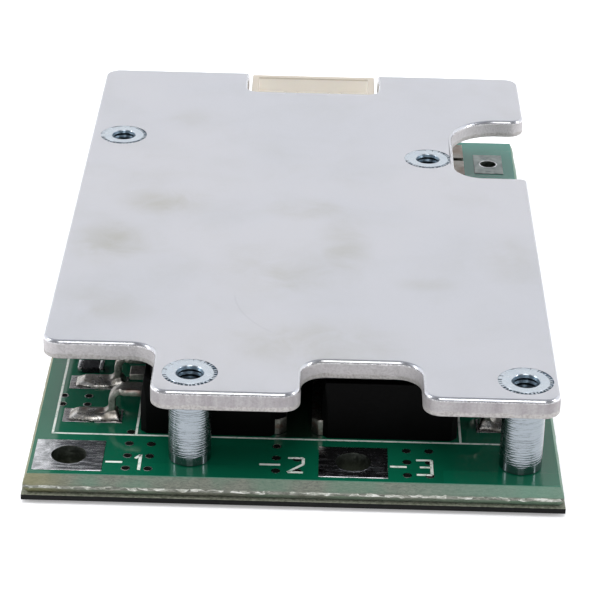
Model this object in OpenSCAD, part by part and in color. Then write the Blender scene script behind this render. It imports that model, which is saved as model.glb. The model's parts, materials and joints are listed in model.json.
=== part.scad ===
// Battery management board: a circuit board with six power transistors under an
// aluminium heat plate, held off the board by four threaded standoffs.
// Millimetres. +X is to the right, +Y to the rear and +Z up. The origin is under the
// middle of the board, on the surface that the four screw heads stand on.

/* [Circuit board] */
// Width of the board's printed face
board_w = 38; // [38:0.5:44]
// Length of the board's printed face
board_l = 62; // [62:0.5:70]
// Thickness of the laminate
board_t = 1.6; // [1:0.1:2.4]
// How far the snapped web stands out past the printed face
web_out = 0.3; // [0.1:0.05:0.5]
// Depth of the V-cut from the top face
cut_top = 0.7; // [0.2:0.05:0.75]
// Height of the snapped web between the two V-cuts
web_h = 0.4; // [0.2:0.05:0.8]

/* [Insulating sheet] */
// Thickness of the sheet under the board
sheet_t = 0.4; // [0.2:0.05:0.6]
// How far the sheet reaches past the board's web
sheet_over = 0.15; // [0:0.05:0.5]
// Radial room in the sheet round each screw head
sheet_room = 0.3; // [0.1:0.05:0.5]

/* [Heat plate] */
// Thickness of the aluminium plate
plate_t = 1.5; // [1:0.1:3]
// Gap between the board and the plate
plate_gap = 5.4; // [4.8:0.1:8]
// Inset of the plate's left edge from the board's left edge
inset_left = 0.4; // [0:0.1:1]
// Inset of the plate's right edge from the board's right edge
inset_right = 0.3; // [0.2:0.1:1]
// Inset of the plate's rear edge from the board's rear edge
inset_rear = 1; // [0.6:0.1:2]
// How far the plate's rear right part steps out past its right edge
tail_out = 0.5; // [0:0.1:0.5]
// Width of the step at the front left, over the left terminal
step_w = 8.35; // [7:0.05:9]
// Depth of the step at the front left
step_d = 7.1; // [6:0.1:8]
// Width of the front lug
lug_w = 10.6; // [9:0.1:11]
// Width of the mouth over the middle terminal
mouth_w = 8.65; // [7.5:0.05:9]
// Depth of the mouth over the middle terminal
mouth_d = 5.2; // [4.8:0.1:6]
// Radius of the plate's outer corners
corner_r = 1.3; // [0.6:0.1:1.6]
// Radius where the step and the mouth turn inwards
inner_r = 1.8; // [0.8:0.1:2]
// Distance from the board's front edge to the side window in the plate
window_y = 38.4; // [38:0.1:40]
// Length of the side window along the board
window_l = 12.3; // [11:0.1:13]
// Depth of the side window, from the plate's right edge
window_d = 6.05; // [5:0.05:6.2]
// Radius of the side window's far inner corner
window_r = 4.2; // [2:0.1:4.8]

/* [Standoffs and screws] */
// Diameter of a standoff's barrel
barrel_d = 3.1; // [3:0.05:3.6]
// Diameter of the knurled head pressed into the plate
head_d = 4; // [3.8:0.05:4.4]
// Diameter of the thread, drawn plain
thread_d = 2; // [1.6:0.05:2.2]
// Depth of the thread
thread_depth = 0.22; // [0.2:0.01:0.25]
// Width of the lead-in chamfer at the top of the thread
lead_in = 0.12; // [0.05:0.01:0.25]
// Distance of the front standoffs from the board's front edge
standoff_front = 2.85; // [2.6:0.05:3.2]
// Centre of the front left standoff from the board's left edge
standoff_left = 11.45; // [11.2:0.05:12]
// Centre of the front right standoff from the board's right edge
standoff_right = 2.7; // [2.6:0.05:3.2]
// Centre of the rear left standoff from the left edge
rear_left_x = 3.2; // [3:0.05:4]
// Centre of the rear left standoff from the front edge
rear_left_y = 45.6; // [45:0.1:46]
// Centre of the rear right standoff from the right edge
rear_right_x = 8.55; // [8.5:0.05:9]
// Centre of the rear right standoff from the front edge
rear_right_y = 42; // [41.5:0.1:43]
// Diameter of a screw head
screw_head_d = 3.8; // [3.2:0.1:4]
// Height of a screw head
screw_head_h = 0.7; // [0.65:0.05:1]
// Length of a screw under its head
screw_l = 5; // [4:0.25:5]
// Radial clearance of a screw in the board
screw_room = 0.2; // [0.1:0.05:0.3]
// Radial clearance between a screw and its standoff's thread
thread_play = 0.05; // [0.02:0.01:0.08]

/* [Terminals] */
// Width of a front terminal pad
pad_w = 5; // [4.2:0.1:5.4]
// Length of a front terminal pad
pad_l = 4.25; // [3.6:0.05:4.6]
// Distance of the front pads from the board's front edge
pad_front = 0.4; // [0.2:0.05:0.8]
// Centre of the left pad from the board's left edge
pad_left = 2.75; // [2.75:0.05:3.5]
// Centre of the middle pad from the board's middle
pad_middle = 4.25; // [3.5:0.05:5]
// Diameter of a front terminal's plated hole
pad_hole_d = 2.6; // [1.5:0.1:3]
// Width of the rear terminal pad
rear_pad_w = 2.6; // [2.2:0.1:3]
// Length of the rear terminal pad
rear_pad_l = 4.2; // [3:0.1:5]
// Centre of the rear pad from the board's right edge
rear_pad_x = 2.3; // [2:0.05:2.4]
// Centre of the rear pad from the board's rear edge
rear_pad_rear = 5.1; // [4:0.1:6]
// Diameter of the rear terminal's plated hole
rear_hole_d = 1.5; // [1:0.1:1.8]
// Thickness of the tinned copper on the board
copper_t = 0.06; // [0.03:0.01:0.1]

/* [Power transistors] */
// Rows of power transistors
fet_rows = 3; // [1:1:3]
// Distance from one row to the next
fet_pitch = 11; // [10.9:0.1:11.2]
// Distance from the board's front edge to the first row's bodies
fet_front = 5.95; // [5.8:0.05:6.2]
// Middle of the two columns, from the board's middle
fet_middle = 0.25; // [-0.2:0.05:0.5]
// Gap between the two columns' tabs
tab_gap = 1.84; // [0.6:0.01:2.2]
// Body length, from the leads to the tab
fet_l = 10; // [9:0.05:10]
// Body width, along the board
fet_w = 9.9; // [9:0.05:10.2]
// Body height
fet_h = 4.5; // [4:0.1:4.6]
// Draft of the body's walls
fet_draft = 0.25; // [0.05:0.05:0.4]
// Chamfer of the body's upright corners
fet_chamfer = 0.45; // [0.1:0.05:0.8]
// Thickness of the tab
tab_t = 1.27; // [1:0.01:1.4]
// How far the tab reaches past the body
tab_out = 0.7; // [0.4:0.05:1]
// Distance between neighbouring leads
lead_pitch = 2.54; // [2.3:0.01:2.6]
// Thickness of a lead
lead_t = 0.5; // [0.4:0.02:0.6]
// Width of a lead's foot
lead_w = 0.8; // [0.6:0.05:1]
// Width of a lead at the body
shoulder_w = 1.35; // [1.1:0.05:1.5]
// Height of a lead's underside where it leaves the body
lead_z = 2.1; // [1.8:0.05:2.6]
// Distance from the body to the lead's bend
lead_bend = 2; // [1.6:0.05:2.1]
// Distance from the body to the tip of a lead's foot
lead_reach = 4.8; // [4.2:0.05:5]
// Inner radius of a lead's upper bend
lead_r = 0.6; // [0.2:0.05:0.6]
// Inner radius of a lead's bend into its foot
lead_foot_r = 0.5; // [0.2:0.05:0.5]
// Length of a lead's solder land
land_l = 4.4; // [4.2:0.05:4.5]
// Width of a lead's solder land
land_w = 2; // [1.6:0.05:2.2]

/* [Thermal pad] */
// Inset of the thermal pad from the transistors' outer faces
gap_pad_inset = 0.5; // [0:0.1:1.5]

/* [Sense header] */
// Number of contacts
header_n = 5; // [3:1:5]
// Distance between contacts
header_pitch = 2; // [1.5:0.05:2]
// Wall length past the outer contacts, on each side
header_end = 1.6; // [1.4:0.05:1.8]
// Depth of the housing, front to rear
header_d = 4.5; // [4.2:0.1:5]
// Height of the housing
header_h = 6.5; // [5.2:0.1:7]
// Wall thickness of the housing
header_wall = 0.6; // [0.5:0.05:0.8]
// Floor thickness of the housing
header_floor = 1.5; // [1:0.1:2]
// Middle of the header from the board's middle
header_x = 0.45; // [0:0.05:0.6]
// Distance of the housing from the board's rear edge
header_rear = 0.5; // [0.3:0.05:1]
// Side of a square contact pin
pin_s = 0.5; // [0.4:0.02:0.6]
// Length of a pin above the housing's floor
pin_up = 3.4; // [2.5:0.1:3.6]
// Length of a pin below the board
pin_down = 0.5; // [0.2:0.05:0.6]
// Room between the housing and the plate, at the sides
header_side_room = 0.3; // [0.25:0.05:0.5]
// Room between the housing and the plate, at the front
header_front_room = 0.5; // [0.4:0.05:0.8]

/* [Small parts] */
// First balancing channel from the board's left edge
channel_left = 1.9; // [1.6:0.05:2]
// Distance from one balancing channel to the next
channel_pitch = 2.75; // [2.6:0.05:2.8]
// Balancing resistors from the board's rear edge
balance_rear = 2.3; // [2:0.1:2.4]
// Balancing transistors from the board's rear edge
transistor_rear = 5.9; // [5.6:0.1:6.2]
// Gap from the header to the filter capacitors
filter_gap = 1.8; // [1:0.1:2]
// Distance between the two rows of filter parts
filter_row = 2; // [1.2:0.1:2.2]
// Distance between neighbouring filter parts
filter_pitch = 2.6; // [2:0.1:2.8]
// Gate resistors from the tips of the transistors' bends
gate_out = 2.5; // [1.8:0.1:2.6]
// Gate resistors ahead of the gap between two transistors
gate_ahead = 0.8; // [0:0.1:0.9]
// Middle of the control chip from the board's middle
chip_x = -4.5; // [-6:0.1:-4]
// Number of legs on each side of the control chip
chip_legs = 8; // [4:1:8]
// Distance between the control chip's legs
chip_leg_pitch = 1.27; // [1:0.01:1.27]
// Body length of a current shunt, with its ends
shunt_l = 6.3; // [5:0.1:6.3]
// Width of a current shunt
shunt_w = 3.1; // [2.5:0.1:3.3]
// Middle of the shunts from the board's right edge
shunt_right = 7.75; // [7.7:0.05:8]
// Middle of the rear shunt from the board's rear edge
shunt_rear = 3.5; // [3:0.1:4]
// Distance between the two shunts
shunt_pitch = 3.7; // [3.5:0.1:4]
// Length of the surge diode's body
diode_l = 4.3; // [3.5:0.1:4.5]
// Middle of the surge diode from the board's middle
diode_x = 3.6; // [3.3:0.1:4]
// Gap from the transistors to the surge diode
diode_gap = 2.1; // [1.5:0.1:3]

/* [Hidden] */

$fn = 48;
eps = 0.01;

// How far a cutting body runs past the piece that it cuts
past = 1;

// Heights, from the surface that the screw heads stand on
z_board = screw_head_h;
z_top = z_board + board_t;
z_plate = z_top + plate_gap;

// The board's printed edges
left = -board_w / 2;
right = board_w / 2;
front = -board_l / 2;
rear = board_l / 2;

// The plate's edges
plate_left = left + inset_left;
plate_right = right - inset_right;
plate_rear = rear - inset_rear;
tail_right = plate_right + tail_out;
lug_left = plate_left + step_w;
lug_right = lug_left + lug_w;
mouth_right = lug_right + mouth_w;
window_left = plate_right - window_d;
window_front = front + window_y;
window_rear = window_front + window_l;
window_near_r = 2.4;
small_r = 0.5;
header_notch_r = 1;

// Standoff centres, in the order front left, front right, rear left, rear right
standoffs = [
    [left + standoff_left, front + standoff_front],
    [right - standoff_right, front + standoff_front],
    [left + rear_left_x, front + rear_left_y],
    [right - rear_right_x, front + rear_right_y]
];
thread_r = thread_d / 2;
root_r = thread_r - thread_depth;
standoff_l = plate_gap + plate_t;
slot_w = 0.45;
slot_l = 2.2;
slot_d = 0.35;
screw_in_standoff = screw_l - board_t;
tip_room = 0.1;
screw_pocket = screw_in_standoff + tip_room;

// Terminals as [x, y, width, length, hole diameter]
terminals = [
    [left + pad_left, front + pad_front + pad_l / 2, pad_w, pad_l, pad_hole_d],
    [pad_middle, front + pad_front + pad_l / 2, pad_w, pad_l, pad_hole_d],
    [right - rear_pad_x, rear - rear_pad_rear, rear_pad_w, rear_pad_l, rear_hole_d]
];

// Power transistors: each column is turned so that its own +X points to its leads
fet_body_x = tab_gap / 2 + tab_out;
fet_lead_x = fet_body_x + fet_l;
fet_field_l = fet_w + (fet_rows - 1) * fet_pitch;
tab_in = 6.4;
tab_side = 0.35;
tab_w = fet_w - 2 * tab_side;
tab_corner = 0.5;
land_heel = 0.5;
stub_l = 1.1;
neck_l = 0.3;
solder_toe = 0.7;
solder_heel = 0.4;
solder_heel_h = 0.7;
solder_side = 0.38;
solder_rim = 0.05;
solder_low = 0.08;

// Header
header_w = (header_n - 1) * header_pitch + 2 * header_end;
header_y = rear - header_rear - header_d / 2;
key_w = 1;
key_h = 2.6;
pin_room = 0.1;
pin_slot_w = 2;

// Chip parts as [length, width, height, length of each end cap]
chip_gate = [2, 1.25, 0.5, 0.35];
chip_balance = [3.2, 1.6, 0.55, 0.5];
chip_filter_r = [1.6, 0.8, 0.45, 0.3];
chip_filter_c = [1.6, 0.8, 0.8, 0.35];
channels = header_n - 1;
filter_c_y = header_y - header_d / 2 - filter_gap - chip_filter_c[1] / 2;
filter_r_y = filter_c_y - filter_row;
gate_x = fet_lead_x + lead_bend + gate_out;
gate_y = front + fet_front + fet_w / 2 + fet_pitch / 2 - gate_ahead;
lift = 0.1;
foot_bend = 0.35;
foot_r = 0.1;

// Small three-legged transistors
small_l = 1.3;
small_w = 2.4;
small_h = 1;
small_leg_z = 0.4;
small_leg_t = 0.15;
small_leg_w = 0.4;
small_leg_l = 0.75;
small_leg_out = 0.95;

// Control chip, halfway between the power transistors and the filters
chip_l = 9.9;
chip_w = 3.9;
chip_h = 1.5;
chip_leg_z = 0.6;
chip_leg_t = 0.2;
chip_leg_w = 0.42;
chip_leg_l = 1.05;
chip_mark_d = 0.8;
chip_mark_in = 0.9;
chip_y = (front + fet_front + fet_field_l + filter_r_y) / 2;

// Shunts and diode
shunt_h = 0.6;
shunt_end = 1.2;
shunt_x = right - shunt_right;
shunt_y = rear - shunt_rear;
diode_w = 2.6;
diode_h = 2.1;
diode_leg_w = 1.5;
diode_leg_t = 0.2;
diode_leg_in = 1;
diode_y = front + fet_front + fet_field_l + diode_gap + diode_w / 2;

// ---------------------------------------------------------------- shared forms

// The corner left between a square corner and its tangent arc. It rounds an outer corner
// when it is cut away and fills an inner one when it is added. sx and sy point inwards.
module corner(x, y, r, sx, sy) {
    translate([x, y])
        scale_sign(sx, sy)
            difference() {
                translate([-eps, -eps])
                    square(r + eps);
                translate([r, r])
                    circle(r);
            }
}

// Mirrors its children so that their first quadrant points along sx and sy
module scale_sign(sx, sy) {
    mirror([sx < 0 ? 1 : 0, 0, 0])
        mirror([0, sy < 0 ? 1 : 0, 0])
            children();
}

// A block given by its lowest corner, its size and a chamfer on its upright corners
module chamfered_plan(l, w, c) {
    polygon([
        [c, 0], [l - c, 0], [l, c], [l, w - c],
        [l - c, w], [c, w], [0, w - c], [0, c]
    ]);
}

// Places its children at each power transistor, with +X towards the leads
module at_fets() {
    for (row = [0 : fet_rows - 1])
        for (side = [0, 1])
            translate([fet_middle, front + fet_front + fet_w / 2 + row * fet_pitch, z_top])
                mirror([1 - side, 0, 0])
                    children();
}

// Places its children at each outer lead of each power transistor
module at_leads() {
    at_fets()
        for (side = [-1, 1])
            translate([fet_lead_x, side * lead_pitch, 0])
                children();
}

// Side view of a formed lead: out of the body, down, and along the board. r_top and r_foot
// are the inner radii of its two bends.
module lead_profile(bend, reach, z_exit, t, r_top, r_foot) {
    translate([0, z_exit])
        square([bend - r_top, t]);
    translate([bend - r_top, z_exit - r_top])
        ring_quarter(r_top, t, 1, 1);
    translate([bend, t + r_foot])
        square([t, z_exit - r_top - r_foot - t]);
    translate([bend + t + r_foot, t + r_foot])
        ring_quarter(r_foot, t, -1, -1);
    translate([bend + t + r_foot, 0])
        square([reach - bend - t - r_foot, t]);
}

// A quarter of a ring of inner radius r and wall t, in the quadrant of sx and sy
module ring_quarter(r, t, sx, sy) {
    scale_sign(sx, sy)
        intersection() {
            difference() {
                circle(r + t);
                circle(r);
            }
            square(r + t + eps);
        }
}

// The board's cross-section: V-cuts above and below a web that was snapped off
module scored_section(w) {
    half = w / 2;
    low = board_t - cut_top - web_h;
    polygon([
        [-half, board_t], [-half - web_out, board_t - cut_top], [-half - web_out, low],
        [-half, 0], [half, 0], [half + web_out, low],
        [half + web_out, board_t - cut_top], [half, board_t]
    ]);
}

// The ceramic or moulded middle of a chip part, between its end caps
module chip_middle(size) {
    translate([-size[0] / 2 + size[3], -size[1] / 2, 0])
        cube([size[0] - 2 * size[3], size[1], size[2]]);
}

// The two end caps of a chip part
module chip_caps(size) {
    for (side = [0, 1])
        mirror([side, 0, 0])
            translate([size[0] / 2 - size[3], -size[1] / 2, 0])
                cube([size[3], size[1], size[2]]);
}

module at_gate_resistors() {
    for (row = [0 : fet_rows - 1])
        for (side = [-1, 1])
            translate([fet_middle + side * gate_x, gate_y + row * fet_pitch, z_top])
                children();
}

module at_balance_resistors() {
    for (i = [0 : channels - 1])
        translate([left + channel_left + i * channel_pitch, rear - balance_rear, z_top])
            rotate([0, 0, 90])
                children();
}

module at_small_transistors() {
    for (i = [0 : channels - 1])
        translate([left + channel_left + i * channel_pitch, rear - transistor_rear, z_top])
            rotate([0, 0, 90])
                children();
}

module at_filters(y) {
    for (i = [0 : channels - 1])
        translate([header_x + (i - (channels - 1) / 2) * filter_pitch, y, z_top])
            children();
}

module at_shunts() {
    for (i = [0, 1])
        translate([shunt_x, shunt_y - i * shunt_pitch, z_top])
            children();
}

// ---------------------------------------------------------------- board and sheet

module circuit_board() {
    color("seagreen")
        difference() {
            intersection() {
                translate([0, rear + past, z_board])
                    rotate([90, 0, 0])
                        linear_extrude(board_l + 2 * past)
                            scored_section(board_w);
                translate([left - past, 0, z_board])
                    rotate([90, 0, 90])
                        linear_extrude(board_w + 2 * past)
                            scored_section(board_l);
            }
            for (s = standoffs)
                translate([s[0], s[1], z_board - past])
                    cylinder(r = thread_r + screw_room, h = board_t + 2 * past);
            for (t = terminals)
                translate([t[0], t[1], z_board - past])
                    cylinder(d = t[4], h = board_t + 2 * past);
            for (i = [0 : header_n - 1])
                translate([header_x + (i - (header_n - 1) / 2) * header_pitch, header_y, z_board - past])
                    cylinder(d = pin_s * sqrt(2) + pin_room, h = board_t + 2 * past);
        }
}

module insulating_sheet() {
    over = web_out + sheet_over;
    color("dimgray")
        translate([0, 0, z_board - sheet_t])
            linear_extrude(sheet_t)
                difference() {
                    translate([left - over, front - over])
                        square([board_w + 2 * over, board_l + 2 * over]);
                    for (s = standoffs)
                        translate(s)
                            circle(d = screw_head_d + 2 * sheet_room);
                    translate([header_x - header_w / 2 + small_r, header_y - pin_slot_w / 2])
                        square([header_w - 2 * small_r, pin_slot_w]);
                }
}

// Each terminal is a tinned pad round a plated hole
module terminal_pads() {
    color("silver")
        for (t = terminals)
            translate([t[0], t[1], z_top])
                difference() {
                    translate([-t[2] / 2, -t[3] / 2, 0])
                        cube([t[2], t[3], copper_t]);
                    translate([0, 0, -past])
                        cylinder(d = t[4], h = copper_t + 2 * past);
                }
}

// ---------------------------------------------------------------- heat plate

module plate_outline() {
    difference() {
        union() {
            difference() {
                translate([plate_left, front])
                    square([tail_right - plate_left, plate_rear - front]);
                // the step over the left terminal and the mouth over the middle one
                translate([plate_left - past, front - past])
                    square([step_w + past, step_d + past]);
                translate([lug_right, front - past])
                    square([mouth_w, mouth_d + past]);
                // the side window, and the right edge set back in front of it
                translate([window_left, window_front])
                    square([window_d + past, window_l]);
                translate([plate_right, front - past])
                    square([tail_out + past, window_front - front + 2 * past]);
                header_notch();
            }
            corner(lug_left, front + step_d, inner_r, -1, -1);
            corner(lug_right, front + mouth_d, inner_r, 1, -1);
            corner(mouth_right, front + mouth_d, inner_r, -1, -1);
            corner(window_left, window_front, window_near_r, 1, 1);
            corner(window_left, window_rear, window_r, 1, -1);
        }
        corner(plate_left, front + step_d, corner_r, 1, 1);
        corner(lug_left, front, corner_r, 1, 1);
        corner(lug_right, front, corner_r, -1, 1);
        corner(mouth_right, front, corner_r, 1, 1);
        corner(plate_right, front, corner_r, -1, 1);
        corner(plate_right, window_front, small_r, -1, -1);
        corner(tail_right, window_rear, corner_r, -1, 1);
        corner(tail_right, plate_rear, corner_r, -1, -1);
        corner(plate_left, plate_rear, corner_r, 1, -1);
    }
}

// The notch that the header stands in, open to the rear
module header_notch() {
    w = header_w + 2 * header_side_room;
    notch_front = header_y - header_d / 2 - header_front_room;
    difference() {
        translate([header_x - w / 2, notch_front])
            square([w, rear - notch_front + past]);
        for (side = [-1, 1])
            corner(header_x + side * w / 2, notch_front, header_notch_r, -side, 1);
    }
}

module heat_plate() {
    color("gainsboro")
        difference() {
            translate([0, 0, z_plate])
                linear_extrude(plate_t)
                    plate_outline();
            for (s = standoffs)
                translate([s[0], s[1], z_plate - past])
                    cylinder(d = head_d, h = plate_t + 2 * past);
        }
}

module thermal_pad() {
    inset = gap_pad_inset + fet_draft;
    color("slategray")
        translate([
            fet_middle - fet_lead_x + inset,
            front + fet_front + inset,
            z_top + fet_h
        ])
            cube([2 * (fet_lead_x - inset), fet_field_l - 2 * inset, plate_gap - fet_h]);
}

// ---------------------------------------------------------------- standoffs and screws

// A barrel that stands on the board, with a knurled head pressed into the plate. Its thread
// is drawn plain: at full width above, and at its root below, where the board's screw fills it.
module standoff(s) {
    color("lightsteelblue")
        translate([s[0], s[1], z_top])
            rotate_extrude()
                polygon([
                    [root_r + thread_play, 0],
                    [barrel_d / 2, 0],
                    [barrel_d / 2, plate_gap],
                    [head_d / 2, plate_gap],
                    [head_d / 2, standoff_l],
                    [thread_r + lead_in, standoff_l],
                    [thread_r, standoff_l - lead_in],
                    [thread_r, screw_pocket],
                    [root_r + thread_play, screw_pocket]
                ]);
}

module standoff_front_left() {
    standoff(standoffs[0]);
}

module standoff_front_right() {
    standoff(standoffs[1]);
}

module standoff_rear_left() {
    standoff(standoffs[2]);
}

module standoff_rear_right() {
    standoff(standoffs[3]);
}

// Four flat-headed screws that hold the board to the standoffs from below
module board_screws() {
    color("silver")
        for (s = standoffs)
            translate([s[0], s[1], 0])
                difference() {
                    union() {
                        cylinder(d = screw_head_d, h = screw_head_h);
                        cylinder(r = root_r, h = screw_head_h + screw_l);
                    }
                    for (turn = [0, 90])
                        rotate([0, 0, turn + 45])
                            translate([-slot_l / 2, -slot_w / 2, -past])
                                cube([slot_l, slot_w, slot_d + past]);
                }
}

// ---------------------------------------------------------------- power transistors

module fet_tab() {
    l = tab_in + tab_out;
    translate([tab_gap / 2, -tab_w / 2, 0])
        linear_extrude(tab_t)
            polygon([
                [tab_corner, 0], [l, 0], [l, tab_w], [tab_corner, tab_w],
                [0, tab_w - tab_corner], [0, tab_corner]
            ]);
}

// Moulded body: drafted on all four sides, with chamfered upright corners
module fet_body() {
    difference() {
        intersection() {
            translate([fet_body_x, fet_w / 2, 0])
                rotate([90, 0, 0])
                    linear_extrude(fet_w)
                        drafted_section(fet_l);
            translate([fet_body_x, -fet_w / 2, 0])
                rotate([90, 0, 90])
                    linear_extrude(fet_l)
                        drafted_section(fet_w);
            translate([fet_body_x, -fet_w / 2, 0])
                linear_extrude(fet_h)
                    chamfered_plan(fet_l, fet_w, fet_chamfer);
        }
        fet_tab();
    }
}

// Section of the body, w wide: upright up to the leads, then drafted
module drafted_section(w) {
    polygon([
        [0, 0], [w, 0], [w, lead_z + lead_t],
        [w - fet_draft, fet_h], [fet_draft, fet_h], [0, lead_z + lead_t]
    ]);
}

module mosfet_bodies() {
    color("black")
        at_fets()
            fet_body();
}

module mosfet_tabs() {
    color("silver")
        at_fets()
            fet_tab();
}

// An outer lead: wide at the body, narrow from its bend to its foot
module fet_lead() {
    translate([0, 0, copper_t])
        intersection() {
            translate([0, shoulder_w / 2, 0])
                rotate([90, 0, 0])
                    linear_extrude(shoulder_w)
                        lead_profile(
                            lead_bend, lead_reach, lead_z - copper_t, lead_t, lead_r, lead_foot_r
                        );
            linear_extrude(fet_h)
                lead_plan();
        }
}

module lead_plan() {
    neck = lead_bend - lead_r;
    polygon([
        [0, -shoulder_w / 2], [neck, -shoulder_w / 2], [neck + neck_l, -lead_w / 2],
        [lead_reach, -lead_w / 2], [lead_reach, lead_w / 2], [neck + neck_l, lead_w / 2],
        [neck, shoulder_w / 2], [0, shoulder_w / 2]
    ]);
}

module mosfet_leads() {
    color("lightgray") {
        at_leads()
            fet_lead();
        // the middle lead is cut off short
        at_fets()
            translate([fet_lead_x, -shoulder_w / 2, lead_z])
                cube([stub_l, shoulder_w, lead_t]);
    }
}

module lead_lands() {
    color("lightgray")
        at_leads()
            translate([lead_bend - land_heel, -land_w / 2, 0])
                cube([land_l, land_w, copper_t]);
}

// Solder that wets a lead's foot, seen from the side: a slope past the toe, level with the
// foot along it, and a fillet up the heel
module solder_profile() {
    level = lead_t - solder_low;
    polygon([
        [lead_bend - solder_heel, 0], [lead_reach + solder_toe, 0], [lead_reach, level],
        [lead_bend + lead_t + lead_foot_r, level], [lead_bend + lead_t / 2, solder_heel_h],
        [lead_bend - solder_rim, solder_heel_h]
    ]);
}

// The same solder seen along the lead: a fillet up each side of the foot
module solder_section() {
    base = lead_w / 2 + solder_side;
    rim = lead_w / 2 + solder_rim;
    level = lead_t - solder_low;
    polygon([
        [-base, 0], [base, 0], [rim, level], [rim, solder_heel_h],
        [-rim, solder_heel_h], [-rim, level]
    ]);
}

module lead_solder() {
    color("silver")
        at_leads()
            difference() {
                translate([0, 0, copper_t])
                    intersection() {
                        translate([0, land_w / 2, 0])
                            rotate([90, 0, 0])
                                linear_extrude(land_w)
                                    solder_profile();
                        rotate([90, 0, 90])
                            linear_extrude(lead_reach + solder_toe)
                                solder_section();
                    }
                fet_lead();
            }
}

// ---------------------------------------------------------------- chip parts

module gate_resistors() {
    color("darkslategray")
        at_gate_resistors()
            chip_middle(chip_gate);
}

module balance_resistors() {
    color("darkslategray")
        at_balance_resistors()
            chip_middle(chip_balance);
}

module filter_resistors() {
    color("darkslategray")
        at_filters(filter_r_y)
            chip_middle(chip_filter_r);
}

module filter_capacitors() {
    color("tan")
        at_filters(filter_c_y)
            chip_middle(chip_filter_c);
}

module chip_ends() {
    color("silver") {
        at_gate_resistors()
            chip_caps(chip_gate);
        at_balance_resistors()
            chip_caps(chip_balance);
        at_filters(filter_r_y)
            chip_caps(chip_filter_r);
        at_filters(filter_c_y)
            chip_caps(chip_filter_c);
    }
}

// Small three-legged transistors, one for each cell
module small_transistors() {
    color("black")
        at_small_transistors()
            translate([-small_l / 2, -small_w / 2, lift])
                cube([small_l, small_w, small_h - lift]);
}

// A small formed leg, w wide, that points to +X
module formed_leg(w, reach, z_exit, t) {
    translate([0, w / 2, 0])
        rotate([90, 0, 0])
            linear_extrude(w)
                lead_profile(reach * foot_bend, reach, z_exit, t, foot_r, foot_r);
}

module transistor_leads() {
    color("silver")
        at_small_transistors() {
            for (side = [-1, 1])
                translate([small_l / 2, side * small_leg_out, 0])
                    formed_leg(small_leg_w, small_leg_l, small_leg_z, small_leg_t);
            translate([-small_l / 2, 0, 0])
                mirror([1, 0, 0])
                    formed_leg(small_leg_w, small_leg_l, small_leg_z, small_leg_t);
        }
}

// ---------------------------------------------------------------- control chip

module controller_body() {
    color("black")
        translate([chip_x - chip_l / 2, chip_y - chip_w / 2, z_top + lift])
            difference() {
                cube([chip_l, chip_w, chip_h - lift]);
                // the round mark beside the first leg
                translate([chip_mark_in, chip_mark_in, chip_h - 2 * lift])
                    cylinder(d = chip_mark_d, h = chip_h);
            }
}

module controller_leads() {
    color("silver")
        for (i = [0 : chip_legs - 1])
            for (side = [0, 1])
                translate([chip_x + (i - (chip_legs - 1) / 2) * chip_leg_pitch, chip_y, z_top])
                    mirror([0, side, 0])
                        translate([0, chip_w / 2, 0])
                            rotate([0, 0, 90])
                                formed_leg(chip_leg_w, chip_leg_l, chip_leg_z, chip_leg_t);
}

// ---------------------------------------------------------------- shunts and diode

// Metal strips that the pack current is measured across, held up by their ends
module sense_shunts() {
    color("sienna")
        at_shunts()
            translate([-shunt_l / 2 + shunt_end, -shunt_w / 2, lift])
                cube([shunt_l - 2 * shunt_end, shunt_w, shunt_h - lift]);
}

module shunt_ends() {
    color("peru")
        at_shunts()
            for (side = [0, 1])
                mirror([side, 0, 0])
                    translate([shunt_l / 2 - shunt_end, -shunt_w / 2, 0])
                        cube([shunt_end, shunt_w, shunt_h]);
}

module surge_diode() {
    color("black")
        translate([diode_x - diode_l / 2, diode_y - diode_w / 2, z_top + lift])
            cube([diode_l, diode_w, diode_h - lift]);
}

// The diode's legs fold down its ends and in under its body
module diode_leads() {
    color("silver")
        translate([diode_x, diode_y, z_top])
            for (side = [0, 1])
                mirror([side, 0, 0])
                    translate([diode_l / 2, -diode_leg_w / 2, 0]) {
                        cube([diode_leg_t, diode_leg_w, diode_h / 2]);
                        translate([-diode_leg_in, 0, 0])
                            cube([diode_leg_in, diode_leg_w, lift]);
                    }
}

// ---------------------------------------------------------------- sense header

module at_pins() {
    for (i = [0 : header_n - 1])
        translate([header_x + (i - (header_n - 1) / 2) * header_pitch, header_y, 0])
            children();
}

// A shrouded housing, open at the top, with two keyways in its front wall
module header_housing() {
    color("blanchedalmond")
        difference() {
            translate([header_x - header_w / 2, header_y - header_d / 2, z_top])
                cube([header_w, header_d, header_h]);
            translate([
                header_x - header_w / 2 + header_wall,
                header_y - header_d / 2 + header_wall,
                z_top + header_floor
            ])
                cube([header_w - 2 * header_wall, header_d - 2 * header_wall, header_h]);
            for (side = [-1, 1])
                translate([
                    header_x + side * header_pitch - key_w / 2,
                    header_y - header_d / 2 - past,
                    z_top + header_h - key_h
                ])
                    cube([key_w, header_wall + past + eps, key_h + past]);
            at_pins()
                translate([-pin_s / 2, -pin_s / 2, z_top - past])
                    cube([pin_s, pin_s, header_floor + 2 * past]);
        }
}

module header_pins() {
    color("silver")
        at_pins()
            translate([-pin_s / 2, -pin_s / 2, z_board - pin_down])
                cube([pin_s, pin_s, pin_down + board_t + header_floor + pin_up]);
}

// ---------------------------------------------------------------- what is drawn

circuit_board();
insulating_sheet();
heat_plate();
thermal_pad();
standoff_front_left();
standoff_front_right();
standoff_rear_left();
standoff_rear_right();
board_screws();
terminal_pads();
mosfet_bodies();
mosfet_tabs();
mosfet_leads();
lead_lands();
lead_solder();
gate_resistors();
balance_resistors();
filter_resistors();
filter_capacitors();
chip_ends();
small_transistors();
transistor_leads();
controller_body();
controller_leads();
sense_shunts();
shunt_ends();
surge_diode();
diode_leads();
header_housing();
header_pins();
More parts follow.
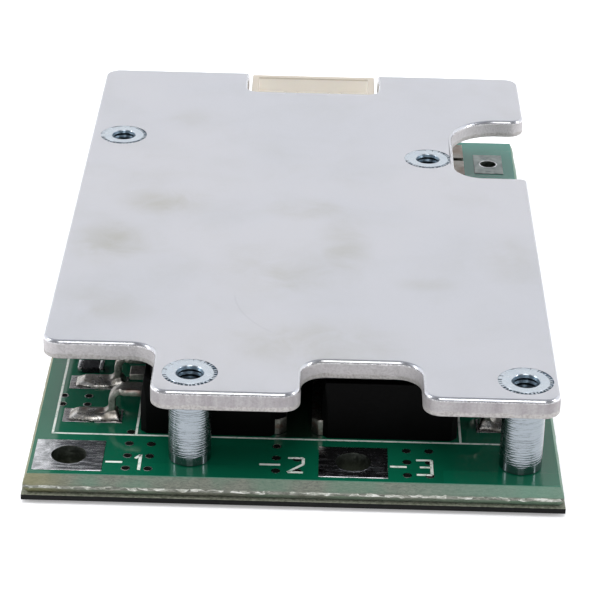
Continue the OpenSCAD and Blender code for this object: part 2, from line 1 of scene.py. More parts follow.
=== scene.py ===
"""Looks of a battery management board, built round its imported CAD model."""

import json
import math
import random

import bmesh
import bpy
from bpy.props import FloatProperty, FloatVectorProperty, IntProperty, PointerProperty
from mathutils import Matrix, Vector


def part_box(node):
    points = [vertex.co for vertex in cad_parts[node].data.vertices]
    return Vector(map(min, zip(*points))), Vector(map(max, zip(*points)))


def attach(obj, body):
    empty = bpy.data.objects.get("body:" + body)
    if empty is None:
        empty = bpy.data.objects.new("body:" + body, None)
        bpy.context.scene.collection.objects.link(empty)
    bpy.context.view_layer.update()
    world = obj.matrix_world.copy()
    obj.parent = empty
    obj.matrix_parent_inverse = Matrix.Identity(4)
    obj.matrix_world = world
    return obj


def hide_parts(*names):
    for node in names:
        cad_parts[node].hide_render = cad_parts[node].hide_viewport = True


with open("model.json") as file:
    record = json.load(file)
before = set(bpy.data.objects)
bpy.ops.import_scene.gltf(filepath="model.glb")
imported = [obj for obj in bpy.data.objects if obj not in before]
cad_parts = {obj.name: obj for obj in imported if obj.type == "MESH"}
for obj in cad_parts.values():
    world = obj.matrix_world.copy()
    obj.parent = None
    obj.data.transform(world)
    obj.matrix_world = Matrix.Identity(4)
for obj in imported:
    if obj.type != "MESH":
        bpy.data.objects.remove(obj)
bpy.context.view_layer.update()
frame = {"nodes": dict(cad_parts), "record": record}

bl_info = {
    "name": "Battery board looks",
    "version": (1, 0, 0),
    "blender": (4, 5, 0),
    "location": "View3D > Sidebar > Battery board",
    "description": "Finishes and fine detail for a battery management board",
    "category": "Object",
}

MM = 0.001
BODY = "root"
# Points closer than this are one point
TOUCHING = 0.0005 * MM

# Heights and edges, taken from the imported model
BOARD_LOW, BOARD_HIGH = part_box("circuit_board")
PLATE_LOW, PLATE_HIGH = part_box("heat_plate")
PAD_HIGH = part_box("terminal_pads")[1]
# The board's box is this much wider than its printed face, all round, because of the snapped web
WEB_OUT = 0.3 * MM
Z_BOARD = BOARD_HIGH.z
Z_PLATE = PLATE_HIGH.z
STANDOFFS = [f"standoff_{end}_{side}" for end in ("front", "rear") for side in ("left", "right")]
MOUNTS = {m["name"]: Vector(m["pos_m"]) for m in frame["record"]["mounts"]}


def middle(node):
    """The middle of a CAD node's box."""
    low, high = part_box(node)
    return (low + high) / 2


def on_board(x, y, z=Z_BOARD):
    """A point, with x from the board's middle and y from its printed face's front, in millimetres."""
    return Vector((x * MM, BOARD_LOW.y + WEB_OUT + y * MM, z))


# ------------------------------------------------------------------ settings


class PlateLook(bpy.types.PropertyGroup):
    top_radius: FloatProperty(
        name="Top edge radius", description="Rounding of the plate's upper edge",
        default=0.3 * MM, unit="LENGTH", precision=5)
    low_radius: FloatProperty(
        name="Lower edge radius", description="Rounding of the plate's lower edge",
        default=0.12 * MM, unit="LENGTH", precision=5)
    colour: FloatVectorProperty(
        name="Aluminium", description="Colour of the bare metal, in sRGB",
        default=(0.89, 0.89, 0.905), subtype="COLOR_GAMMA", size=3)
    smudge: FloatVectorProperty(
        name="Smudge", description="Colour of the handling marks, in sRGB",
        default=(0.825, 0.82, 0.795), subtype="COLOR_GAMMA", size=3)


class StandoffLook(bpy.types.PropertyGroup):
    teeth: IntProperty(
        name="Knurl teeth", description="Teeth round the head that is pressed into the plate",
        default=40)
    shut_towards: FloatProperty(
        name="Shut side", description="Direction, in degrees, in which the knurl's gaps are closed",
        default=125.0)
    thread_pitch: FloatProperty(
        name="Thread pitch", description="Distance from one thread turn to the next",
        default=0.4 * MM, unit="LENGTH", precision=5)
    thread_depth: FloatProperty(
        name="Thread depth", description="How far the thread stands into the hole",
        default=0.12 * MM, unit="LENGTH", precision=5)
    colour: FloatVectorProperty(
        name="Zinc", description="Colour of the plated steel, in sRGB",
        default=(0.78, 0.82, 0.855), subtype="COLOR_GAMMA", size=3)


class BoardLook(bpy.types.PropertyGroup):
    mask: FloatVectorProperty(
        name="Solder mask", description="Colour of the mask over bare laminate, in sRGB",
        default=(0.02, 0.33, 0.235), subtype="COLOR_GAMMA", size=3)
    ink: FloatVectorProperty(
        name="Ink", description="Colour of the printed outlines, in sRGB",
        default=(0.88, 0.90, 0.87), subtype="COLOR_GAMMA", size=3)
    ink_width: FloatProperty(
        name="Line width", description="Width of a printed line",
        default=0.17 * MM, unit="LENGTH", precision=5)
    via_rim: FloatProperty(
        name="Via rim", description="Outer radius of a via's tinned rim",
        default=0.33 * MM, unit="LENGTH", precision=5)
    via_hole: FloatProperty(
        name="Via hole", description="Radius of a via's open hole",
        default=0.26 * MM, unit="LENGTH", precision=5)


class StageLook(bpy.types.PropertyGroup):
    lens: FloatProperty(
        name="Lens", description="Focal length on a 36 mm sensor",
        default=145.88, subtype="DISTANCE_CAMERA")
    place: FloatVectorProperty(
        name="Camera place", description="Where the camera stands",
        default=(1.479 * MM, -179.726 * MM, 91.697 * MM), subtype="XYZ", unit="LENGTH", precision=5)
    pitch: FloatProperty(
        name="Pitch", description="How far the camera looks down",
        default=math.radians(26.789), subtype="ANGLE")
    yaw: FloatProperty(
        name="Yaw", description="How far the camera turns to the left",
        default=math.radians(0.499), subtype="ANGLE")
    roll: FloatProperty(
        name="Roll", description="How far the camera is tipped",
        default=math.radians(1.26), subtype="ANGLE")
    sky: FloatProperty(
        name="Room light", description="Brightness of the walls round the table", default=1.05)
    ceiling: FloatProperty(
        name="Ceiling light", description="Brightness straight above", default=0.45)
    glow: FloatProperty(
        name="Floor glow", description="Light that the lit acrylic floor gives by itself", default=0.3)
    behind: FloatProperty(
        name="Light behind the camera", description="Share of the room light left on the camera's side",
        default=0.3)
    floor: FloatVectorProperty(
        name="Floor", description="Colour of the floor, in sRGB",
        default=(0.95, 0.95, 0.955), subtype="COLOR_GAMMA", size=3)


# ------------------------------------------------------------------ mesh helpers


def deselect():
    """Leaves edit mode with nothing selected."""
    if bpy.context.object and bpy.context.object.mode != "OBJECT":
        bpy.ops.object.mode_set(mode="OBJECT")
    bpy.ops.object.select_all(action="DESELECT")


def take(*objects):
    """Selects only these objects and makes the first one active."""
    deselect()
    for obj in objects:
        obj.select_set(True)
    bpy.context.view_layer.objects.active = objects[0]


def edit(obj, mode="FACE"):
    """Opens a mesh in edit mode with nothing selected in it."""
    take(obj)
    bpy.ops.object.mode_set(mode="EDIT")
    bpy.ops.mesh.select_mode(type=mode)
    bpy.ops.mesh.select_all(action="DESELECT")


def pick(obj, kind, test):
    """Selects only the faces, edges or verts that pass a test, of which there has to be one."""
    shape = bmesh.from_edit_mesh(obj.data)
    found = False
    for item in getattr(shape, kind):
        keep = bool(test(item))
        item.select_set(keep)
        found = found or keep
    shape.select_flush_mode()
    bmesh.update_edit_mesh(obj.data)
    if not found:
        raise RuntimeError(f"nothing to shape on {obj.name}")


def merge_all(obj):
    """Merges doubles, with the whole mesh left selected."""
    edit(obj, "VERT")
    bpy.ops.mesh.select_all(action="SELECT")
    bpy.ops.mesh.remove_doubles(threshold=TOUCHING)


def tidy_mesh(obj):
    """Merges doubles and turns all faces outwards."""
    merge_all(obj)
    bpy.ops.mesh.normals_make_consistent(inside=False)
    deselect()


def duplicate(obj, name):
    """A copy of an object, with a mesh of its own."""
    made = bpy.data.objects.new(name, obj.data.copy())
    bpy.context.scene.collection.objects.link(made)
    return made


def copy_of(node, name):
    """A merged copy of a CAD node, with flat faces in one piece again."""
    obj = duplicate(frame["nodes"][node], name)
    obj.data.materials.clear()
    merge_all(obj)
    bpy.ops.mesh.dissolve_limited(angle_limit=math.radians(0.5))
    bpy.ops.mesh.select_all(action="SELECT")
    bpy.ops.mesh.vert_connect_concave()
    bpy.ops.mesh.normals_make_consistent(inside=False)
    deselect()
    return obj


def islands(obj):
    """The boxes of a mesh's loose parts, as pairs of low and high corners."""
    mesh = bmesh.new()
    mesh.from_mesh(obj.data)
    left, boxes = set(mesh.verts), []
    while left:
        reached, part = [left.pop()], []
        while reached:
            vert = reached.pop()
            part.append(vert.co.copy())
            near = {e.other_vert(vert) for e in vert.link_edges} & left
            left -= near
            reached += near
        boxes.append([tuple(end(co[i] for co in part) for i in range(3)) for end in (min, max)])
    mesh.free()
    return [(Vector(low), Vector(high)) for low, high in sorted(boxes)]


def block(size):
    """A box of this size round the origin."""
    deselect()
    bpy.ops.mesh.primitive_cube_add(size=1, location=(0, 0, 0))
    made = bpy.context.object
    made.scale = size
    bpy.ops.object.transform_apply(location=False, rotation=False, scale=True)
    return made


def draw(name, points):
    """Draws a line by extruding one vertex from point to point, and leaves it in edit mode."""
    deselect()
    bpy.ops.mesh.primitive_circle_add(vertices=3, radius=0.01 * MM, location=(0, 0, 0))
    obj = bpy.context.object
    obj.name = obj.data.name = name
    edit(obj, "VERT")
    bpy.ops.mesh.select_all(action="SELECT")
    bpy.ops.mesh.merge(type="CENTER")
    bpy.ops.transform.translate(value=points[0])
    for a, b in zip(points, points[1:]):
        bpy.ops.mesh.extrude_region_move(TRANSFORM_OT_translate={"value": Vector(b) - Vector(a)})
    bpy.ops.mesh.select_all(action="SELECT")
    return obj


def lathe(name, profile, centre, steps=64):
    """Spins a closed profile of (radius, height) round an upright axis."""
    points = [(centre.x + r, centre.y, z) for r, z in profile]
    obj = draw(name, points + points[:1])
    bpy.ops.mesh.remove_doubles(threshold=TOUCHING)
    bpy.ops.mesh.select_all(action="SELECT")
    bpy.ops.mesh.spin(
        steps=steps, angle=2 * math.pi, center=(centre.x, centre.y, 0), axis=(0, 0, 1))
    tidy_mesh(obj)
    return obj


def bar(name, start, end, width, height):
    """A flat bar from one point to another, on the surface they lie on."""
    side = (end - start).normalized().cross(Vector((0, 0, 1))) * width / 2
    obj = draw(name, [start - side, end - side, end + side, start + side])
    bpy.ops.mesh.edge_face_add()
    bpy.ops.mesh.extrude_region_move(TRANSFORM_OT_translate={"value": (0, 0, height)})
    tidy_mesh(obj)
    return obj


def join(objects):
    """Joins pieces into the first one."""
    take(*objects)
    if len(objects) > 1:
        bpy.ops.object.join()
    return bpy.context.object


def repeat(obj, shifts):
    """Copies a mesh to each shift, and joins the copies."""
    copies = []
    for shift in shifts:
        made = duplicate(obj, obj.name)
        made.data.transform(Matrix.Translation(shift))
        copies.append(made)
    bpy.data.objects.remove(obj)
    return join(copies)


def bevel(obj, width, segments=2, angle=30):
    """Rounds every edge sharper than an angle in degrees."""
    take(obj)
    made = obj.modifiers.new("Rounded edges", "BEVEL")
    made.width, made.segments = width, segments
    made.limit_method, made.angle_limit = "ANGLE", math.radians(angle)
    made.loop_slide = False
    bpy.ops.object.modifier_apply(modifier=made.name)


def two_coats(obj, first, second, test):
    """Gives a mesh two materials, the second one on the faces that pass a test."""
    obj.data.materials.append(first)
    obj.data.materials.append(second)
    edit(obj, "FACE")
    pick(obj, "faces", test)
    obj.active_material_index = 1
    bpy.ops.object.material_slot_assign()


def settle(obj, name, material, replaced=(), sharp=35):
    """Names, shades and mounts a finished piece; edges over sharp degrees stay crisp."""
    take(obj)
    bpy.ops.object.transform_apply(location=True, rotation=True, scale=True)
    bpy.ops.object.shade_smooth_by_angle(angle=math.radians(sharp))
    flat = obj.modifiers.new("Flat faces stay flat", "WEIGHTED_NORMAL")
    flat.keep_sharp = True
    bpy.ops.object.modifier_apply(modifier=flat.name)
    obj.name = obj.data.name = name
    if not obj.data.materials:
        obj.data.materials.append(material)
    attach(obj, BODY)
    if replaced:
        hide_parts(*replaced)
    deselect()


def round_off(node, ending, material, width, segments=2, angle=30):
    """Copies a CAD node, rounds its edges, by a width in millimetres, and replaces it."""
    piece = copy_of(node, f"{node}_{ending}")
    bevel(piece, width * MM, segments, angle)
    settle(piece, f"{node}_{ending}", material, (node,))


def coat_node(node, material):
    """Gives a CAD node a material and leaves its mesh as it is."""
    slots = frame["nodes"][node].data.materials
    slots.clear()
    slots.append(material)


# ------------------------------------------------------------------ material helpers

# What a kind of node is set to here, unless a call says otherwise
USUAL = {"Mix": {"data_type": "RGBA"}, "MapRange": {"interpolation_type": "SMOOTHSTEP"}}


def linear(colour):
    """Turns an sRGB colour, as hex or as three values, to linear RGBA."""
    if isinstance(colour, str):
        colour = [int(colour[i:i + 2], 16) / 255 for i in (1, 3, 5)]
    turned = [c / 12.92 if c <= 0.04045 else ((c + 0.055) / 1.055) ** 2.4 for c in colour]
    return (*turned, 1.0)


def add(tree, kind, inputs=(), how=None, stops=(), **settings):
    """Adds a shader node and gives its first live output.

    inputs are values or links, by name or in the order of the live sockets, and None leaves one
    as it is. how is the node's operation, and stops are a colour ramp's (place, grey or colour).
    """
    made = tree.nodes.new("ShaderNode" + kind)
    if how:
        settings["operation"] = how
    for key, value in {**USUAL.get(kind, {}), **settings}.items():
        setattr(made, key, value)
    for _ in stops[2:]:
        made.color_ramp.elements.new(0.5)
    for i, (at, tone) in enumerate(stops):
        stop = made.color_ramp.elements[i]
        stop.position = at
        stop.color = (tone, tone, tone, 1) if isinstance(tone, (int, float)) else tone
    if isinstance(inputs, dict):
        pairs = [(made.inputs[key], value) for key, value in inputs.items()]
    else:
        pairs = zip([socket for socket in made.inputs if socket.enabled], inputs)
    for socket, value in pairs:
        if isinstance(value, bpy.types.NodeSocket):
            tree.links.new(value, socket)
        elif value is not None:
            socket.default_value = value
    return next((socket for socket in made.outputs if socket.enabled), None)


def start_material(name):
    """A new material with its empty tree and its object coordinates."""
    made = bpy.data.materials.new(name)
    made.use_nodes = True
    made.node_tree.nodes.clear()
    return made, made.node_tree, add(made.node_tree, "TexCoord").node.outputs["Object"]


def shade(made, inputs):
    """Gives a material its shader, with these inputs."""
    add(made.node_tree, "OutputMaterial", [add(made.node_tree, "BsdfPrincipled", inputs)])
    return made


def mottled(name, size, tones, rough, depth, pattern=(3, 0.6), upto=0.7, stretch=None, **more):
    """A material of two tones in a fine pattern, size millimetres across and depth deep.

    pattern is the noise's detail and roughness, and the second tone is full where it reaches
    upto. rough is one roughness, or its range over the same pattern.
    """
    made, tree, place = start_material(name)
    if stretch:
        place = add(tree, "Mapping", {"Vector": place, "Scale": stretch})
    grain = add(tree, "TexNoise", [place, 1 / (size * MM), *pattern])
    tone = add(tree, "Mix", [add(tree, "MapRange", [grain, 0.3, upto]), *map(linear, tones)])
    if isinstance(rough, tuple):
        rough = add(tree, "MapRange", [grain, 0.3, 0.7, *rough])
    bump = add(tree, "Bump", {"Height": grain, "Distance": depth * MM})
    return shade(made, {"Base Color": tone, "Roughness": rough, "Normal": bump, **more})


# ------------------------------------------------------------------ materials


def tumbled_aluminium(look):
    """Stamped sheet, tumbled matt: even satin faces, polished round edges, a sheared side."""
    made, tree, place = start_material("tumbled_aluminium")
    x, y, z = add(tree, "SeparateXYZ", [place]).node.outputs
    top = Z_PLATE
    # handling marks as (x, y, half length, half width, strength), in millimetres
    dirt = 0.0
    for mark_x, mark_y, long, wide, strong in (
            (-14.8, -7.2, 3.6, 4.2, 0.9), (-11.1, 0.8, 4.0, 2.8, 0.75), (0.2, 0.1, 3.4, 2.4, 0.7),
            (3.4, -6.8, 2.4, 6.4, 0.7), (-1.2, -11.6, 5.4, 5.6, 0.5), (-14.4, -18.2, 3.8, 3.6, 0.65),
            (0.9, -23.2, 8.5, 4.2, 0.6), (16.6, -8.4, 3.0, 5.0, 0.6), (9.6, -13.2, 2.6, 1.4, 0.5),
            (-9.6, 18.3, 2.8, 3.2, 0.45)):
        offset = add(tree, "VectorMath", [place, (mark_x * MM, mark_y * MM, top)], "SUBTRACT")
        shape = add(tree, "VectorMath", [offset, (1 / (long * MM), 1 / (wide * MM), 0)], "MULTIPLY")
        reach = add(tree, "VectorMath", [shape], "LENGTH")
        mark = add(tree, "MapRange", [reach, 0.1, 1.25, strong, 0])
        dirt = add(tree, "Math", [dirt, mark], "MAXIMUM")
    broken = add(tree, "TexNoise", [place, 1 / (3.6 * MM), 6, 0.58, None, 0.6])
    broken = add(tree, "ValToRGB", [broken], stops=[(0.30, 0.1), (0.62, 1)])
    haze = add(tree, "TexNoise", [place, 1 / (7 * MM), 5, 0.6, None, 0.4])
    haze = add(tree, "ValToRGB", [haze], stops=[(0.45, 0), (0.70, 0.3)])
    dirt = add(tree, "Math", [add(tree, "Math", [dirt, haze], "ADD"), broken], "MULTIPLY")
    soiled = add(tree, "Math", [dirt, 0.95], "MULTIPLY", use_clamp=True)
    colour = add(tree, "Mix", [soiled, linear(look.colour), linear(look.smudge)])
    cloud = add(tree, "TexNoise", [place, 1 / (14 * MM), 2, 0.5])
    cloud = add(tree, "MapRange", [cloud, 0.3, 0.7, 0, 0.4])
    colour = add(tree, "Mix", [cloud, colour, linear("#DADDE4")])
    # one long curved scratch, part of a circle
    offset = add(tree, "VectorMath", [place, (3.6 * MM, -15.2 * MM, top)], "SUBTRACT")
    flat = add(tree, "VectorMath", [offset, (1, 1, 0)], "MULTIPLY")
    off_arc = add(tree, "Math", [add(tree, "VectorMath", [flat], "LENGTH"), 8.5 * MM], "SUBTRACT")
    scratch = add(tree, "MapRange", [add(tree, "Math", [off_arc], "ABSOLUTE"), 0, 0.14 * MM, 0.08, 0])
    for fade in (
            [y, -22.6 * MM, -21.8 * MM], [x, -2.4 * MM, -1.0 * MM, 1, 0],
            [y, -16.4 * MM, -15.2 * MM, 1, 0]):
        scratch = add(tree, "Math", [scratch, add(tree, "MapRange", fade)], "MULTIPLY")
    colour = add(tree, "Mix", [scratch, colour, linear("#8F9096")])
    # sheared side: a smooth burnished band above, a speckled torn band below
    side = add(tree, "MapRange", [z, top - 0.30 * MM, top - 0.20 * MM, 1, 0])
    upright = add(tree, "Mapping", {"Vector": place, "Scale": (1, 1, 0.2)})
    wander = add(tree, "TexNoise", [upright, 1 / (1.6 * MM), 4, 0.6])
    level = add(tree, "Math", [z, add(tree, "Math", [wander, 0.5 * MM], "MULTIPLY")], "ADD")
    torn = add(tree, "MapRange", [level, top - 0.92 * MM, top - 0.80 * MM, 1, 0])
    speck = add(tree, "TexNoise", [place, 1 / (0.16 * MM), 4, 0.7])
    speck = add(tree, "ValToRGB", [speck], stops=[(0.40, 1), (0.56, 0)])
    upright = add(tree, "Mapping", {"Vector": place, "Scale": (1, 1, 0.08)})
    streak = add(tree, "TexNoise", [upright, 1 / (0.9 * MM), 4, 0.6])
    streak = add(tree, "MapRange", [streak, 0.30, 0.70])
    burnished = add(tree, "Mix", [streak, linear("#C0BDBE"), linear("#ACA8AA")])
    # painted light: the sheared side of the recess walls is painted brighter, where they take less light
    # than the lugs' sides
    painted_recess_light = add(tree, "MapRange", [y, PLATE_LOW.y + 2.5 * MM, PLATE_LOW.y + 4.5 * MM, 0, 0.7])
    burnished = add(tree, "Mix", [painted_recess_light, burnished, linear("#DAD7D8")])
    specks = add(tree, "Math", [speck, 0.16], "MULTIPLY")
    burnished = add(tree, "Mix", [specks, burnished, linear("#7E7878")])
    specks = add(tree, "Math", [speck, 0.5], "MULTIPLY")
    ragged = add(tree, "Mix", [specks, linear("#C6C3C1"), linear("#948E8C")])
    colour = add(tree, "Mix", [side, colour, add(tree, "Mix", [torn, burnished, ragged])])
    under = add(tree, "MapRange", [z, PLATE_LOW.z + 0.01 * MM, PLATE_LOW.z + 0.05 * MM, 1, 0])
    colour = add(tree, "Mix", [under, colour, linear("#7A7A7E")])
    # the round upper edge is polished, the side below it is dull
    edge = add(tree, "Math", [
        add(tree, "MapRange", [z, top - 0.34 * MM, top - 0.25 * MM]),
        add(tree, "MapRange", [z, top - 0.03 * MM, top - 0.001 * MM])], "SUBTRACT")
    dull = add(tree, "Math", [side, edge], "SUBTRACT", use_clamp=True)
    grain = add(tree, "TexNoise", [place, 1 / (0.12 * MM), 3, 0.6])
    rough = add(tree, "MapRange", [grain, 0.2, 0.8, 0.40, 0.48])
    for part, share in ((dirt, 0.06), (edge, -0.24), (dull, 0.24)):
        rough = add(tree, "Math", [rough, add(tree, "Math", [part, share], "MULTIPLY")], "ADD")
    pits = add(tree, "Math", [add(tree, "Math", [speck, side], "MULTIPLY"), 1.6], "MULTIPLY")
    height = add(tree, "Math", [add(tree, "Math", [grain, 0.25], "MULTIPLY"), pits], "ADD")
    bump = add(tree, "Bump", {"Height": height, "Distance": 0.010 * MM})
    return shade(made, {"Base Color": colour, "Metallic": 1, "Roughness": rough, "Normal": bump})


def blue_zinc(look):
    """Turned steel under bright blue zinc: mirror-like, with fine cutting rings."""
    made, tree, place = start_material("blue_zinc")
    z = add(tree, "SeparateXYZ", [place]).node.outputs["Z"]
    mottle = add(tree, "TexNoise", [place, 1 / (0.9 * MM), 4, 0.6])
    colour = add(tree, "Mix", [
        add(tree, "MapRange", [mottle, 0.3, 0.7]), linear(look.colour), linear("#D3DBE2")])
    # cutting rings about 0.2 mm apart, unevenly spaced, that fade out above the foot
    round_about = add(tree, "Mapping", {"Vector": place, "Scale": (0.15, 0.15, 1)})
    uneven = add(tree, "TexNoise", [round_about, 1 / (0.35 * MM), 3, 0.6])
    turn = add(tree, "Math", [
        add(tree, "Math", [z, 2 * math.pi / (0.2 * MM)], "MULTIPLY"),
        add(tree, "Math", [uneven, 16], "MULTIPLY")], "ADD")
    ring = add(tree, "Math", [add(tree, "Math", [turn], "SINE"), 0.5], "MULTIPLY")
    round_about = add(tree, "Mapping", {"Vector": place, "Scale": (0.2, 0.2, 1)})
    finer = add(tree, "TexNoise", [round_about, 1 / (0.12 * MM), 3, 0.6])
    ring = add(tree, "Math", [ring, finer], "ADD")
    barrel = add(tree, "MapRange", [z, Z_PLATE - 1.55 * MM, Z_PLATE - 1.45 * MM, 1, 0])
    foot = add(tree, "MapRange", [z, Z_BOARD + 0.45 * MM, Z_BOARD + 0.9 * MM])
    turned = add(tree, "Math", [barrel, foot], "MULTIPLY")
    # painted shade: the barrel under the plate is painted a darker grey than the head
    grey = add(tree, "Math", [barrel, 0.9], "MULTIPLY")
    colour = add(tree, "Mix", [grey, colour, linear("#888F94")])
    lines = add(tree, "Math", [
        add(tree, "MapRange", [ring, 0.35, 1.05, 0, 0.7]),
        add(tree, "MapRange", [uneven, 0.40, 0.62])], "MULTIPLY")
    lines = add(tree, "Math", [lines, turned], "MULTIPLY")
    colour = add(tree, "Mix", [lines, colour, linear("#6F757A")])
    rough = add(tree, "MapRange", [mottle, 0.3, 0.8, 0.20, 0.32])
    for part, share in ((barrel, -0.12), (turned, 0.10)):
        rough = add(tree, "Math", [rough, add(tree, "Math", [part, share], "MULTIPLY")], "ADD")
    height = add(tree, "Math", [ring, turned], "MULTIPLY")
    bump = add(tree, "Bump", {"Height": height, "Distance": 0.010 * MM})
    return shade(made, {"Base Color": colour, "Metallic": 1, "Roughness": rough, "Normal": bump})


def bare_thread():
    """Cut steel down a small hole, where the zinc is thin: slate blue, painted darker with depth as shade.
    """
    made, tree, place = start_material("bare_thread")
    z = add(tree, "SeparateXYZ", [place]).node.outputs["Z"]
    stain = add(tree, "TexNoise", [place, 1 / (0.4 * MM), 4, 0.6])
    upper = add(tree, "Mix", [
        add(tree, "MapRange", [stain, 0.3, 0.7]), linear("#7B8D9B"), linear("#4D5E6C")])
    # painted shade: near black deep in the hole
    depth = add(tree, "MapRange", [z, Z_PLATE - 1.5 * MM, Z_PLATE - 0.1 * MM])
    colour = add(tree, "Mix", [depth, linear("#0E1318"), upper])
    rough = add(tree, "MapRange", [stain, 0.3, 0.7, 0.3, 0.5])
    bump = add(tree, "Bump", {"Height": stain, "Distance": 0.01 * MM})
    return shade(made, {"Base Color": colour, "Metallic": 1, "Roughness": rough, "Normal": bump})


def masked_laminate(look):
    """Glass-fibre board: glossy green mask over copper, and streaky cut fibres on its edges."""
    made, tree, place = start_material("masked_laminate")
    x, y, z = add(tree, "SeparateXYZ", [place]).node.outputs
    low, high = BOARD_LOW.z, BOARD_HIGH.z
    # planes of copper show through the mask as slightly lighter fields some millimetres wide
    copper = add(tree, "TexBrick", {
        "Vector": place, "Scale": 1 / MM, "Mortar Size": 0, "Bias": 0, "Brick Width": 10.7,
        "Row Height": 7.3, "Color1": (1, 1, 1, 1), "Color2": (0, 0, 0, 1)}, offset=0.37, offset_frequency=2)
    fields = add(tree, "Math", [copper, 0.3], "MULTIPLY")
    mask = add(tree, "Mix", [fields, linear(look.mask), linear("#0B7052")])
    tone = add(tree, "MapRange", [add(tree, "TexNoise", [place, 1 / (5 * MM), 3, 0.5]), 0.3, 0.7, 0, 0.3])
    mask = add(tree, "Mix", [tone, mask, linear("#09523D")])
    # painted shade: the mask is painted near black in the lane between the power transistors, where shade
    # falls under the plate
    off_lane = add(tree, "Math", [add(tree, "Math", [x, 0.25 * MM], "SUBTRACT")], "ABSOLUTE")
    painted_lane_shade = add(tree, "Math", [
        add(tree, "MapRange", [off_lane, 1.5 * MM, 1.7 * MM, 0.9, 0]),
        add(tree, "MapRange", [y, BOARD_LOW.y + 6.1 * MM, BOARD_LOW.y + 6.4 * MM])], "MULTIPLY")
    mask = add(tree, "Mix", [painted_lane_shade, mask, linear("#151B14")])
    # painted light: the mask beside and behind the rear terminal is painted a paler green, for the light it
    # takes and mirrors in the window
    painted_window_light = add(tree, "Math", [
        add(tree, "MapRange", [x, 12.6 * MM, 12.9 * MM, 0, 0.6]),
        add(tree, "MapRange", [y, 9 * MM, 17 * MM])], "MULTIPLY")
    mask = add(tree, "Mix", [painted_window_light, mask, linear("#3F8C80")])
    # cut edges: fibres lie along each edge, some of them slanting
    along = add(tree, "Mapping", {"Vector": place, "Scale": (0.2, 0.2, 0.9)})
    fibre = add(tree, "TexNoise", [along, 1 / (0.075 * MM), 4, 0.7, None, 1.2])
    along = add(tree, "Mapping", {"Vector": place, "Scale": (0.4, 0.4, 1.4)})
    fleck = add(tree, "TexNoise", [along, 1 / (0.3 * MM), 4, 0.7, None, 0.8])
    strand = add(tree, "MapRange", [fibre, 0.38, 0.62])
    stain = add(tree, "TexNoise", [place, 1 / (4.5 * MM), 3, 0.5])
    stain = add(tree, "MapRange", [stain, 0.42, 0.62, 0, 0.45])
    # yellow resin at the far left, greener resin to the right
    yellow = add(tree, "MapRange", [x, BOARD_LOW.x + 0.5 * MM, BOARD_LOW.x + 4.5 * MM, 0.45, 0])
    green = add(tree, "MapRange", [x, 4 * MM, BOARD_HIGH.x - 2 * MM, 0, 0.55])
    cuts = []
    for dark, light, *tints in (("#55584D", "#777A6B", "#628069", "#6C8F77", "#8C8A50"),
                                ("#636A5F", "#83867A", "#5A8770", "#6A9B86", "#97905C")):
        cut = add(tree, "Mix", [strand, linear(dark), linear(light)])
        for amount, tint in zip((stain, green, yellow), tints):
            cut = add(tree, "Mix", [amount, cut, linear(tint)])
        cuts.append(cut)
    web = add(tree, "Mix", [
        add(tree, "MapRange", [fleck, 0.40, 0.62]), linear("#696C62"), linear("#9C9D93")])
    wander = add(tree, "Math", [add(tree, "Math", [fleck, 0.5], "SUBTRACT"), 0.25 * MM], "MULTIPLY")
    level = add(tree, "Math", [z, wander], "ADD")
    cut = add(tree, "Mix", [add(tree, "MapRange", [level, low + 0.42 * MM, low + 0.52 * MM]), cuts[0], web])
    cut = add(tree, "Mix", [add(tree, "MapRange", [level, low + 0.68 * MM, low + 0.78 * MM]), cut, cuts[1]])
    rim = add(tree, "MapRange", [z, high - 0.09 * MM, high - 0.02 * MM])
    cut = add(tree, "Mix", [rim, cut, linear("#3E7C66")])
    face = add(tree, "Math", [
        add(tree, "MapRange", [z, high - 0.012 * MM, high - 0.002 * MM]),
        add(tree, "MapRange", [z, low + 0.002 * MM, low + 0.012 * MM, 1, 0])], "MAXIMUM")
    colour = add(tree, "Mix", [face, cut, mask])
    rough = add(tree, "MapRange", [face, 0, 1, 0.6, 0.085])
    # the mask's skin waves gently and steps up over copper, and the cut fibres stand out
    wave = add(tree, "Math", [add(tree, "TexNoise", [place, 1 / (2.2 * MM), 2, 0.5]), 0.5], "MULTIPLY")
    skin = add(tree, "Math", [wave, add(tree, "Math", [copper, 0.4], "MULTIPLY")], "ADD")
    skin = add(tree, "Math", [skin, face], "MULTIPLY")
    fuzz = add(tree, "Math", [fibre, add(tree, "Math", [1.0, face], "SUBTRACT")], "MULTIPLY")
    bump = add(tree, "Bump", {"Height": skin, "Distance": 0.010 * MM})
    bump = add(tree, "Bump", {"Height": fuzz, "Distance": 0.09 * MM, "Normal": bump})
    return shade(made, {"Base Color": colour, "Roughness": rough, "IOR": 1.52, "Normal": bump})


def snapped_fibre():
    """Broken glass fibre and resin: whitish, dry and ragged, palest along the two long sides."""
    made, tree, place = start_material("snapped_fibre")
    x = add(tree, "SeparateXYZ", [place]).node.outputs["X"]
    along = add(tree, "Mapping", {"Vector": place, "Scale": (0.4, 0.4, 1.2)})
    fleck = add(tree, "TexNoise", [along, 1 / (0.35 * MM), 5, 0.75, None, 0.4])
    colour = add(tree, "ValToRGB", [fleck], stops=[
        (0.34, linear("#6C7064")), (0.48, linear("#A9ABA0")), (0.62, linear("#E3E4DD"))])
    long_side = add(tree, "MapRange", [add(tree, "Math", [x], "ABSOLUTE"), 18.9 * MM, 19.1 * MM, 0, 0.8])
    colour = add(tree, "Mix", [long_side, colour, linear("#DDE3DC")])
    bump = add(tree, "Bump", {"Height": fleck, "Distance": 0.06 * MM})
    return shade(made, {"Base Color": colour, "Roughness": 0.75, "IOR": 1.5, "Normal": bump})


